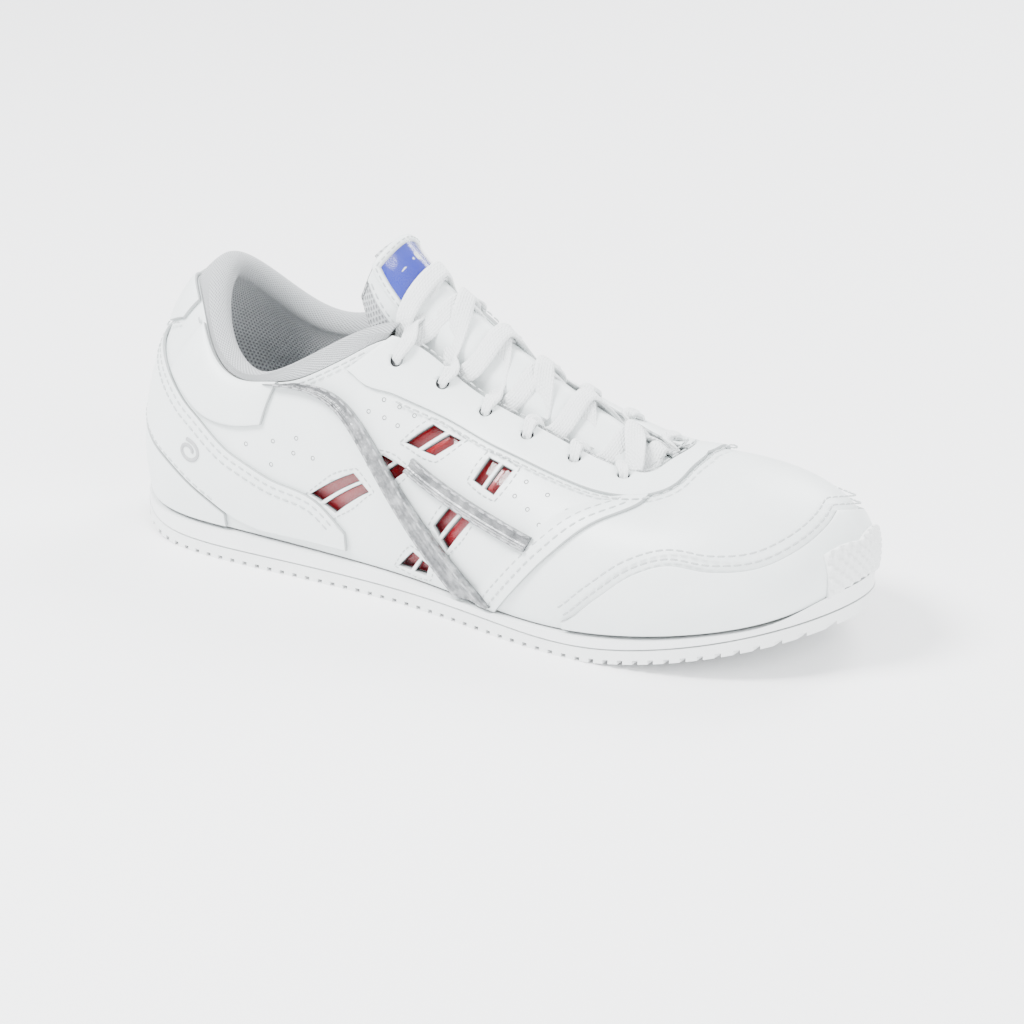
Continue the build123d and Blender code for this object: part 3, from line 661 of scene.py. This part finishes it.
def millimetres(piece, s_length, t_length, columns, rows):
    """Rescales the sheet coordinates from grid steps to millimetres."""
    layer = piece.data.uv_layers["sheet"].data
    values = np.zeros(len(layer) * 2)
    layer.foreach_get("uv", values)
    values = values.reshape(-1, 2) * (s_length / columns, t_length / rows)
    layer.foreach_set("uv", values.ravel())
    return piece


def quarter_top(around):
    return np.minimum(collar_rim(around), THROAT_UP) - 0.010


def below_rim(around):
    return collar_rim(around) - 0.012


def above_counter(around):
    return np.maximum(0.012, counter_top(around) + 0.008)


def counter_edge(around):
    return counter_top(around) - 0.004


def outline(ring, count):
    """Points round a ring of corners, count on each side, and back to the first."""
    ring = np.array([*ring, ring[0]])
    steps = np.linspace(0, 1, count + 1)[:-1, None]
    return np.concatenate([ring[k] + (ring[k + 1] - ring[k]) * steps for k in range(len(ring) - 1)]
                          + [ring[:1]])


def window_panes(quad):
    a, b, c, d = np.array(quad)
    back_low, fore_low = a + (d - a) * 0.44, a + (d - a) * 0.56
    back_high, fore_high = b + (c - b) * 0.44, b + (c - b) * 0.56
    return [(a, b, back_high, back_low), (fore_low, fore_high, c, d)]


vamp = closed_sheet("vamp_leather", round_toe(0.001, 0.0, THROAT_UP), -LEATHER, 0.0, 150, 44, smooth_leather)
finish_piece(vamp, "white_leather", "vamp")
vamp_inside = closed_sheet("vamp_inner_mesh", round_toe(0.004, 0.03, 0.96), -4.0, -3.3, 100, 30, air_mesh)
finish_piece(millimetres(vamp_inside, 170, 70, 100, 30), "mesh_lining", "vamp_lining")

for side, name in ((-1, "lateral"), (1, "medial")):
    skin = closed_sheet(f"quarter_leather_{name}",
                        quarter_points(side, 0.003, 0.0, quarter_top, -0.014, 1.15),
                        -LEATHER, 0.0, 140, 52, white_leather)
    cutters = [closed_sheet(f"pane_cutter_{name}_{i}", corners(pane, side), -3.0, 2.5, 5, 5,
                            white_leather, 0.0)
               for i, pane in enumerate(p for quad in WINDOWS for p in window_panes(quad))]
    cut(skin, *cutters)
    finish_piece(skin, "white_leather", f"quarter_{name}")

    def pocket(back, fore, low, high, side=side):
        def point_at(s, t, lift):
            limit = np.minimum(fore, vamp_seam(low + (high - low) * t) - 0.015)
            around = back + (limit - back) * s
            step = 0.20 * (1 - np.clip((around - 0.355) / 0.03, 0, 1))
            return lifted(side * around, low + (high - step - low) * t, lift)
        return point_at

    film = closed_sheet(f"window_clear_{name}", pocket(0.29, 0.60, 0.015, 0.73), -2.0, -1.7, 50, 30,
                        clear_film, 0.1)
    finish_piece(film, "clear_film", f"window_film_{name}")
    card = closed_sheet(f"card_{name}_red", pocket(0.32, 0.574, 0.012, 0.715), -3.6, -3.2, 50, 30,
                        red_card, 0.1)
    finish_piece(card, "red_card", f"colour_card_{name}", body=f"card_{name}")
    back = closed_sheet(f"pocket_cloth_{name}", pocket(0.27, 0.60, 0.05, 0.74), -5.0, -4.6, 50, 30,
                        air_mesh, 0.1)
    finish_piece(millimetres(back, 70, 45, 50, 30), "mesh_lining", f"pocket_back_{name}")
    lining = closed_sheet(f"quarter_mesh_{name}", quarter_points(side, 0.362, 0.03, lambda a: 0.76 + a * 0),
                          -6.1, -5.4, 60, 30, air_mesh, 0.2)
    finish_piece(millimetres(lining, 75, 50, 60, 30), "mesh_lining", f"quarter_lining_{name}")
    backing = closed_sheet(f"eyelet_backing_{name}", between(side * 0.365, side * 0.735, 0.80, 0.97),
                           -2.5, -1.6, 50, 4, white_leather, 0.2)
    finish_piece(backing, "white_leather", f"eyestay_backing_{name}")

    # thin dark edge inside every pane, painted shade of the cut window edge, and a sewn frame round every
    # window
    vertices, faces = [], []
    for index, quad in enumerate(WINDOWS):
        for pane in window_panes(quad):
            line = outline(pane, 8)
            points = lifted(side * line[:, 0], line[:, 1], -1.15)
            more, linked = tube(points, outward(side * line[:, 0], line[:, 1]), 0.26, 6, 0.7)
            faces += [tuple(v + len(vertices) for v in face) for face in linked]
            vertices += more
        line = outline(quad, 24)
        centre = np.mean(quad, axis=0)
        middle = lifted(side * centre[:1], centre[1:], 0.0)[0]
        points = lifted(side * line[:, 0], line[:, 1], 0.0)
        points = points + unit(points - middle) * 1.7
        normals = outward(side * line[:, 0], line[:, 1])
        stitches(f"window_{index}_{name}_stitches", (points, normals), 1.9, 1.4, 0.2)
    finish_piece(new_object(f"pane_edges_{name}", vertices, faces, pane_edge_shade), "clear_film")

# ---------------------------------------------------------------- panels on the leather
TOP = OVERLAY_LIFT + OVERLAY
toe_cap = closed_sheet("toe_cap_leather", between(-0.645, -1.355, 0.012, toe_cap_top),
                       OVERLAY_LIFT, TOP, 150, 20, smooth_leather)
finish_piece(toe_cap, "white_leather", "toe_cap")
edge_seams("toe_cap", -0.652, -1.348, toe_cap_top, TOP, (1.6, 4.0), samples=260)


def eyestay_points(s, t, lift):
    start = -(0.334 + 0.027 * t)
    around = start + (-2 - 2 * start) * s
    low = eyestay_low(around)
    return lifted(around, low + (THROAT_UP - low) * t, lift)


def bar_relief(t):
    """Height of a silver bar across its width: raised borders and a sunk middle."""
    middle = np.abs(t - 0.5)
    border = np.clip((middle - 0.27) / 0.06, 0, 1)
    lip = np.clip((0.5 - middle) / 0.05, 0, 1)
    channel = np.clip((0.13 - middle) / 0.05, 0, 1)
    return 0.25 + 0.55 * border * lip - 0.25 * channel


def disc_cutters(label, radius, depth, lift):
    made = []
    for side in (-1, 1):
        for index, (around, up) in enumerate(EYELETS):
            centre = lifted(side * around, up, lift)
            normal = outward(side * around, up)
            turn = Vector(normal).to_track_quat("Z", "Y").to_matrix()
            rim = [np.array(turn @ Vector((math.cos(a) * radius, math.sin(a) * radius, 0.0)))
                   for a in np.linspace(0, 2 * math.pi, 25)[:-1]]
            points = [centre + r + normal * depth for r in rim] + [centre + r - normal * depth for r in rim]
            faces = [tuple(range(24)), tuple(range(47, 23, -1))]
            faces += [(k, k + 24, (k + 1) % 24 + 24, (k + 1) % 24) for k in range(24)]
            made.append(new_object(f"{label}_{side + 1}_{index}", points, faces, dark_hole))
    return made


eyestay = closed_sheet("eyestay_leather", eyestay_points, OVERLAY_LIFT, TOP, 220, 10, white_leather)
cut(eyestay, *disc_cutters("eyelet_cutter", 1.8, 3.0, 0.7))
finish_piece(eyestay, "white_leather", "eyestay")
for disc in disc_cutters("eyelet_shade", 1.9, 0.1, 0.08):
    finish_piece(disc, "white_leather")
edge_seams("eyestay_low", -0.40, -1.60, eyestay_low, TOP, (-1.6,), samples=320)
edge_seams("throat", -0.372, -1.628, lambda a: a * 0 + 0.975, TOP, (1.3,), samples=320)
edge_seams("throat_front", -0.80, -1.20, lambda a: a * 0 + 0.975, TOP, (3.4,), samples=80)

foxing = closed_sheet("heel_counter_leather", between(-0.225, 0.225, 0.012, counter_edge),
                      OVERLAY_LIFT, TOP, 90, 20, white_leather)
finish_piece(foxing, "white_leather", "heel_foxing")
edge_seams("heel_counter", -0.21, 0.21, counter_edge, TOP, (-1.6,))
tab = closed_sheet("heel_tab_leather", between(-0.08, 0.08, heel_tab_low, below_rim),
                   OVERLAY_LIFT, TOP, 30, 24, white_leather, puff=0.5)
finish_piece(tab, "white_leather", "heel_tab")
edge_seams("heel_tab", -0.078, 0.078, heel_tab_low, TOP, (1.5,), samples=60)

for side, name in ((-1, "lateral"), (1, "medial")):
    panel = closed_sheet(f"heel_panel_leather_{name}",
                         between(side * 0.004, side * 0.37, above_counter,
                                 heel_panel_top), OVERLAY_LIFT, TOP, 90, 24, white_leather)
    finish_piece(panel, "white_leather", f"heel_panel_{name}")
    edge_seams(f"heel_panel_{name}", side * 0.012, side * 0.36, heel_panel_top, TOP,
               (1.6 * side, 3.7 * side))
    ankle = closed_sheet(f"ankle_pad_{name}", between(side * 0.112, side * 0.262, ankle_low, below_rim),
                         OVERLAY_LIFT, TOP, 40, 30, white_leather, puff=1.3)
    finish_piece(ankle, "white_leather", f"ankle_panel_{name}")
    edge_seams(f"ankle_{name}", side * 0.118, side * 0.256, ankle_low, TOP, (-1.5 * side,), samples=60)
    edge_seams(f"collar_{name}", side * 0.10, side * 0.34, below_rim, TOP - 0.3,
               (1.5 * side,), samples=120)

    ups = np.linspace(0.02, 0.70, 120)
    for index, gap in enumerate((-0.2, 2.2)):
        stitches(f"vamp_seam_{name}_{index}",
                 seam(side * vamp_seam(ups), ups, 1.17 - 0.25 * index, -side * gap))

    # two silver bars with raised borders and a sunk middle
    for label, quad, reach in (("rear", REAR_BAR, 1.0), ("front", FRONT_BAR, 0.86)):
        shape = corners(quad, side)

        def bar_at(s, t, lift, shape=shape, reach=reach):
            return shape(s * reach, t, lift + np.where(lift > 1.5, bar_relief(t), 0))

        bar = closed_sheet(f"{label}_silver_{name}", bar_at, 1.0, 1.75, 90, 40, foil, 0.2)
        finish_piece(bar, "silver", f"{label}_bar_{name}")
        s = np.linspace(0.03, 0.97, 90) * reach
        for index, across in enumerate((0.12, 0.88)):
            line = shape(s, np.full(90, across), np.full(90, 2.53))
            normal = unit(line - shape(s, np.full(90, across), np.full(90, 1.0)))
            stitches(f"{label}_bar_{name}_stitches_{index}", (line, normal), 3.3, 2.3, 0.24, grey_thread,
                     slot="silver")

    # punched vents, drawn as dark dished discs of painted shade
    vertices, faces = [], []
    for around, up in PUNCHED:
        centre, normal = lifted(side * around, up, 0.02), outward(side * around, up)
        if 0.24 < around < 0.34:
            centre = centre + normal * TOP * (up < heel_panel_top(np.array(around)))
        turn = Vector(normal).to_track_quat("Z", "Y").to_matrix()
        start = len(vertices)
        for radius, depth in ((0.62, 0.05), (0.50, 0.0), (0.2, -0.1)):
            for k in range(12):
                a = k * math.pi / 6
                spoke = Vector((math.cos(a) * radius, math.sin(a) * radius, depth))
                vertices.append(centre + np.array(turn @ spoke))
        faces += ring_faces(3, 12, start, near_end=False)
    finish_piece(new_object(f"vents_{name}", vertices, faces, dark_hole), "white_leather")


def lugs(s, t):
    pattern = np.sin(s * math.pi * 26) * np.sin(t * math.pi * 7)
    return 0.45 * np.clip(pattern * 2.2, -1, 1)


bumper_shape = between(-0.94, -1.14, 0.02,
                       lambda a: 0.10 + 0.15 * np.sin(math.pi * np.clip(
                           (np.where(np.abs(a) <= 1, np.abs(a), 2 - np.abs(a)) - 0.86) / 0.2, 0, 1)))
bumper = closed_sheet("toe_bumper_lugs",
                      lambda s, t, lift: bumper_shape(s, t, lift + np.where(lift > 2.0, lugs(s, t), 0)),
                      1.2, 2.4, 120, 36, tread_rubber, 0.4)
finish_piece(bumper, "rubber", "toe_bumper")


# ---------------------------------------------------------------- padded collar
def collar_profile(s, t, lift):
    around = -0.356 + 0.712 * s
    rim = np.minimum(collar_rim(around), 0.97)
    outer = lifted(around, rim + (1 - rim) * np.clip(t / 0.2, 0, 1), lift)
    edge, normal = leather(around, np.ones_like(s)), outward(around, np.ones_like(s))
    turn = (math.pi * np.clip((t - 0.2) / 0.3, 0, 1))[..., None]
    inward = unit(edge - leather(around, np.full_like(s, 0.99)))
    reach = (3.8 + lift)[..., None]
    nose = edge + normal * (reach * np.cos(turn) - 3.8) + inward * reach * np.sin(turn)
    up = 1.0 - 0.97 * np.clip((t - 0.5) / 0.5, 0, 1)
    blend = np.clip((up - 0.38) / 0.2, 0, 1)
    blend = blend * blend * (3 - 2 * blend)
    inside = lifted(around, up, -6.1 - 1.5 * blend - lift)
    t = t[..., None]
    return np.where(t < 0.2, outer, np.where(t < 0.5, nose, inside))


collar = closed_sheet("collar_padding", collar_profile, -0.8, 0.0, 200, 110, air_mesh, 0.2)
millimetres(collar, 235, 130, 200, 110)
finish_piece(collar, "mesh_lining", "collar_lining")


# ---------------------------------------------------------------- tongue
TONGUE = [
    (0.00, 66, 43.5, 64, 8, 42.5, 62, 14, 38),
    (0.14, 50, 50.0, 51, 9, 42.0, 50, 16, 38),
    (0.28, 36, 56.5, 38, 10, 43.5, 38, 18, 40),
    (0.42, 20, 63.5, 22, 10.5, 49.0, 23, 18, 44),
    (0.55, 5, 71.0, 7, 11, 56.0, 8, 17.5, 50),
    (0.68, -10, 79.5, -10, 11, 63.5, -9, 15.5, 56),
    (0.80, -24, 89.0, -26, 10.0, 73.0, -26, 10.0, 63),
    (0.91, -33, 96.0, -37, 10.2, 84.0, -42, 9.5, 72),
    (1.00, -38, 101.0, -42, 10.5, 93.0, -46, 10.5, 84),
]
tongue_values = open_curve(TONGUE)
TONGUE_COLUMNS, TONGUE_ROWS = 100, 80


def tongue_face(s, t):
    x, z, edge_x, edge_y, edge_z, wing_x, wing_y, wing_z = tongue_values(s)
    across = [(0.0, x, 0.0, z), (0.30, x + (edge_x - x) * 0.40, edge_y * 0.80, z + (edge_z - z) * 0.40),
              (0.62, edge_x, edge_y, edge_z), (1.0, wing_x, wing_y, wing_z)]
    mirrored = [(-place, px, -py, pz) for place, px, py, pz in across[:0:-1]]
    points = open_curve(mirrored + across)(t)
    points[..., 1] += -0.4 * s
    return points * GRADE - CENTRE


tongue_points = np.array([tongue_face(s, np.linspace(-1, 1, TONGUE_ROWS + 1))
                          for s in np.linspace(0, 1, TONGUE_COLUMNS + 1)])
tongue_normals = unit(np.cross(np.gradient(tongue_points, axis=1), np.gradient(tongue_points, axis=0)))


def sampled(grid, s, t):
    """Value of a grid at s (0 to 1) and t (-1 to 1)."""
    u = np.clip(s, 0, 1) * TONGUE_COLUMNS
    v = (np.clip(t, -1, 1) + 1) / 2 * TONGUE_ROWS
    i, j = np.minimum(u.astype(int), TONGUE_COLUMNS - 1), np.minimum(v.astype(int), TONGUE_ROWS - 1)
    a, b = (u - i)[..., None], (v - j)[..., None]
    return ((1 - a) * (1 - b) * grid[i, j] + a * (1 - b) * grid[i + 1, j]
            + (1 - a) * b * grid[i, j + 1] + a * b * grid[i + 1, j + 1])


def tongue(s, t, lift):
    s, t = np.broadcast_arrays(np.asarray(s, float), np.asarray(t, float))
    normal = unit(sampled(tongue_normals, s, t))
    return sampled(tongue_points, s, t) + normal * np.asarray(lift, float)[..., None]


def tongue_part(s_low, s_high, t_low, t_high):
    def point_at(s, t, lift):
        return tongue(s_low + (s_high - s_low) * s, t_low + (t_high - t_low) * t, lift)
    return point_at


body = closed_sheet("tongue_padding", tongue_part(0, 1, -1, 1), -5.8, -0.5, 100, 80, tongue_mesh, 2.4)
millimetres(body, 125, 62, 100, 80)
finish_piece(body, "mesh_lining", "tongue_lining", "tongue_foam", body="tongue")
cover = closed_sheet("tongue_cover", tongue_part(0.0, 0.985, -0.72, 0.72), -0.45, 0.45, 90, 60,
                     edge_leather, 0.35)
finish_piece(cover, "white_leather", "tongue_outer", body="tongue")
for index, t in enumerate((-0.67, 0.67)):
    s = np.linspace(0.02, 0.97, 150)
    stitches(f"tongue_side_stitches_{index}",
             (tongue(s, t, 0.46), sampled(tongue_normals, s, np.full_like(s, t))), body="tongue")

BADGE = (0.825, 0.970, -0.42, 0.42)


def badge_rim(lift, count=24):
    """Points and normals of a line just outside the badge."""
    low_s, high_s, low_t, high_t = BADGE[0] - 0.008, BADGE[1] + 0.006, BADGE[2] - 0.04, BADGE[3] + 0.04
    ring = [(low_s, low_t), (low_s, high_t), (high_s, high_t), (high_s, low_t), (low_s, low_t)]
    line = np.concatenate([np.linspace(ring[k], ring[k + 1], count)[:-1] for k in range(4)]
                          + [np.array(ring[:1])])
    return tongue(line[:, 0], line[:, 1], lift), sampled(tongue_normals, line[:, 0], line[:, 1])


vertices, faces = tube(*badge_rim(0.62), 1.25, 10, 0.62)
finish_piece(new_object("badge_frame", vertices, faces, edge_leather), "white_leather", body="tongue")
stitches("badge_stitches", badge_rim(1.4), 2.1, 1.5, 0.2, body="tongue")
card = closed_sheet("badge_blue", tongue_part(*BADGE), 0.45, 0.75, 12, 20, blue_card, 0.1)
finish_piece(card, "blue_card", "badge_card", body="tongue")
film = closed_sheet("badge_clear", tongue_part(*BADGE), 1.0, 1.25, 16, 24, clear_film, 0.1, puff=0.25)
finish_piece(film, "clear_film", "badge_film", body="tongue")

# a plain diamond outline round a small diamond, printed on the badge
vertices, faces = [], []
for size in (1.0, 0.78, 0.36):
    for along, across in ((1, 0), (0, 1), (-1, 0), (0, -1)):
        vertices.append(tongue(0.897 + 0.050 * size * along, 0.22 * size * across, 0.82))
for k in range(4):
    faces.append((k, (k + 1) % 4, (k + 1) % 4 + 4, k + 4))
faces.append((8, 9, 10, 11))
finish_piece(new_object("badge_emblem", vertices, faces, pale_print, smooth=False), "white_leather",
             body="tongue")

# ---------------------------------------------------------------- laces
EYELET_S = [0.79, 0.67, 0.555, 0.43, 0.295, 0.14]
# width and thickness of the lace in an eyelet, where it lies flat and in between
HOLE, FLAT, SOFT = (2.5, 1.7), (5.2, 1.25), (3.9, 1.5)
# where a tucked end runs down inside the collar: around, up, lift
TUCK = [(0.364, 0.985, -4.8), (0.366, 0.88, -5.8), (0.376, 0.74, -9.2), (0.392, 0.60, -10.6)]


def at_eyelet(side, eyelet, up, lift, section):
    around, eyelet_up = EYELETS[eyelet]
    up = eyelet_up if up is None else up
    return lifted(side * around, min(up + 0.012, 0.99), lift), outward(side * around, up), section


def over_tongue(s, t, layer):
    s, t = np.array(s), np.array(t)
    return tongue(s, t, 1.5 + layer * 1.9), sampled(tongue_normals, s, t), FLAT


def crossing(side, start_s, end_s, layer):
    return [over_tongue(start_s + (end_s - start_s) * share, t, height)
            for share, t, height in ((0.16, side * 0.44, layer * 0.7), (0.5, 0.0, layer),
                                     (0.84, -side * 0.44, layer * 0.7))]


def half_lace(side):
    route = [at_eyelet(side, 5, 0.96, 2.2, SOFT), at_eyelet(side, 5, None, 1.7, HOLE),
             at_eyelet(side, 5, None, -3.2, HOLE), at_eyelet(side, 5, 0.985, -3.6, SOFT)]
    for eyelet in (4, 3, 2, 1, 0):
        route += crossing(side, EYELET_S[eyelet + 1], EYELET_S[eyelet], int((eyelet % 2 > 0) == (side > 0)))
        side = -side
        route += [at_eyelet(side, eyelet, 0.985, -3.4, SOFT), at_eyelet(side, eyelet, None, -3.2, HOLE),
                  at_eyelet(side, eyelet, None, 1.7, HOLE), at_eyelet(side, eyelet, 0.965, 2.2, SOFT)]
    route += crossing(side, 0.80, 0.83, int(side > 0))
    for around, up, lift in TUCK:
        route.append((lifted(-side * around, up, lift), outward(-side * around, up), SOFT))
    return route


bar = [over_tongue(0.13, t, 0.5) for t in (-0.44, 0.0, 0.44)]
route = half_lace(-1)[::-1] + bar + half_lace(1)
route_points = np.array([point for point, _, _ in route])
route_normals = np.array([normal for _, normal, _ in route])
route_sections = np.array([section for _, _, section in route])
runs = np.linalg.norm(np.diff(route_points, axis=0), axis=1)
distance = np.concatenate([[0], np.cumsum(np.maximum(runs, 0.5))])
lace_curve = open_curve(np.column_stack([distance, route_points, route_normals, route_sections]))
samples = np.linspace(0, distance[-1], 1500)
values = lace_curve(samples)
points, normals, sections = values[:, 0:3], unit(values[:, 3:6]), values[:, 6:8]
directions = unit(np.gradient(points, axis=0))
sides = unit(np.cross(directions, normals))
for _ in range(6):
    sides = unit(np.concatenate([sides[:1], sides[:-2] + 2 * sides[1:-1] + sides[2:], sides[-1:]]))
rises = unit(np.cross(sides, directions))
vertices, faces, uvs = [], [], []
SHAPE = [(1.0, 0.0), (0.94, 0.34), (0.80, 0.5), (0.4, 0.47), (0.0, 0.44), (-0.4, 0.47),
         (-0.80, 0.5), (-0.94, 0.34), (-1.0, 0.0), (-0.94, -0.34), (-0.80, -0.5), (-0.4, -0.5),
         (0.0, -0.5), (0.4, -0.5), (0.80, -0.5), (0.94, -0.34)]
lengths = np.concatenate([[0], np.cumsum(np.linalg.norm(np.diff(points, axis=0), axis=1))])
for k in range(len(points)):
    width, thick = sections[k]
    curl = 0.35 * math.sin(lengths[k] * 0.11) + 0.2 * math.sin(lengths[k] * 0.31 + 1.3)
    for across, height in SHAPE:
        lift = height * thick + curl * across * across * 0.6
        vertices.append(points[k] + sides[k] * across * width / 2 + rises[k] * lift)
        uvs.append((across * width / 2 + (20 if height < 0 else 0), lengths[k]))
n = len(SHAPE)
for k in range(len(points) - 1):
    for corner in range(n):
        a, b = k * n + corner, k * n + (corner + 1) % n
        faces.append((a, a + n, b + n, b))
faces.append(tuple(range(n)))
faces.append(tuple((len(points) - 1) * n + c for c in range(n - 1, -1, -1)))
lace = new_object("flat_lace", vertices, faces, lace_braid, uvs)
finish_piece(lace, "lace", "lace")

# ---------------------------------------------------------------- sockliner
seam_heights = open_curve(sorted((row[1], row[3]) for row in RIBS if row[0] <= 0))
RIM_POINTS = 120
LINER_INSET = 6.3                 # from the seam with the sole to the edge of the sockliner
around = -1 + 2 * np.arange(RIM_POINTS) / RIM_POINTS
rim, rim_normal = leather(around, 0.0), outward(around, 0.0)
flat_normal = unit(rim_normal * (1, 1, 0))
rim = rim - flat_normal * LINER_INSET
vertices = []
spine = np.column_stack([np.clip(rim[:, 0], -80, 80), rim[:, 1] * 0.0, rim[:, 2]])
RINGS = [(1.0, 2.3), (1.0, 4.2), (0.985, 5.1), (0.96, 5.45), (0.85, 5.45), (0.6, 5.3), (0.3, 5.3),
         (0.02, 5.3)]
for share, rise in RINGS:
    for k in range(RIM_POINTS):
        place = spine[k] + (rim[k] - spine[k]) * share
        place[2] = seam_heights((place[0] + CENTRE[0]) / GRADE)[0] * GRADE + rise
        vertices.append(place)
liner = new_object("sockliner_pad", vertices, ring_faces(len(RINGS), RIM_POINTS), liner_cloth)
finish_piece(liner, "sockliner", "sockliner", body="sockliner")

# a small sewn curl on the outer heel panel
turns = np.linspace(0, 2.6 * math.pi, 90)
size = 0.35 + 0.65 * turns / turns[-1]
swirl_around = -(0.178 + 0.016 * size * np.cos(turns))
swirl_up = 0.335 + 0.055 * size * np.sin(turns)
swirl = lifted(swirl_around, swirl_up, TOP + 0.1)
vertices, faces = tube(swirl, outward(swirl_around, swirl_up), 0.55, 8, 0.55)
finish_piece(new_object("heel_curl", vertices, faces, grey_thread), "silver")

# ---------------------------------------------------------------- floor, light and camera
floor_material, nodes, links, shader = tree_of("floor", 0.6)
broad = texture(nodes, links, "ShaderNodeTexNoise", 1.2, Detail=2.0)
mottle(nodes, links, shader, broad.outputs["Fac"], [(0.3, (0.93, 0.93, 0.935)), (0.7, (0.95, 0.95, 0.953))])
floor = new_object("floor", [(-3000, -3000, 0), (3000, -3000, 0), (3000, 3000, 0), (-3000, 3000, 0)],
                   [(0, 1, 2, 3)], floor_material)

world = bpy.data.worlds.new("studio")
bpy.context.scene.world = world
world.use_nodes = True
world.node_tree.nodes["Background"].inputs["Color"].default_value = (0.95, 0.97, 1.0, 1)
world.node_tree.nodes["Background"].inputs["Strength"].default_value = 1.9


def area(name, place, size, power, target=(0.0, 0.0, 0.04)):
    light = bpy.data.lights.new(name, "AREA")
    light.shape, light.size, light.energy = "DISK", size, power
    lamp = bpy.data.objects.new(name, light)
    lamp.location = place
    lamp.rotation_euler = (Vector(target) - Vector(place)).to_track_quat("-Z", "Y").to_euler()
    bpy.context.scene.collection.objects.link(lamp)


area("key", (-0.45, -0.55, 1.0), 0.5, 38.0)
area("fill", (0.9, -0.4, 0.6), 0.8, 12.0)
area("back", (0.1, 0.9, 0.8), 0.7, 18.0)

camera_data = bpy.data.cameras.new("camera")
camera_data.lens, camera_data.sensor_width = 136.05, 36.0
camera_data.shift_x, camera_data.shift_y = 0.0039, -0.043
camera_data.clip_start = 0.05
camera = bpy.data.objects.new("camera", camera_data)
away = Vector((0.510, -0.786, 0.350)).normalized()
target = Vector((0.0039, 0.0008, 0.0315))
camera.location = target + away * 1.035
camera.rotation_euler = (-away).to_track_quat("-Z", "Y").to_euler()
bpy.context.scene.collection.objects.link(camera)
bpy.context.scene.camera = camera
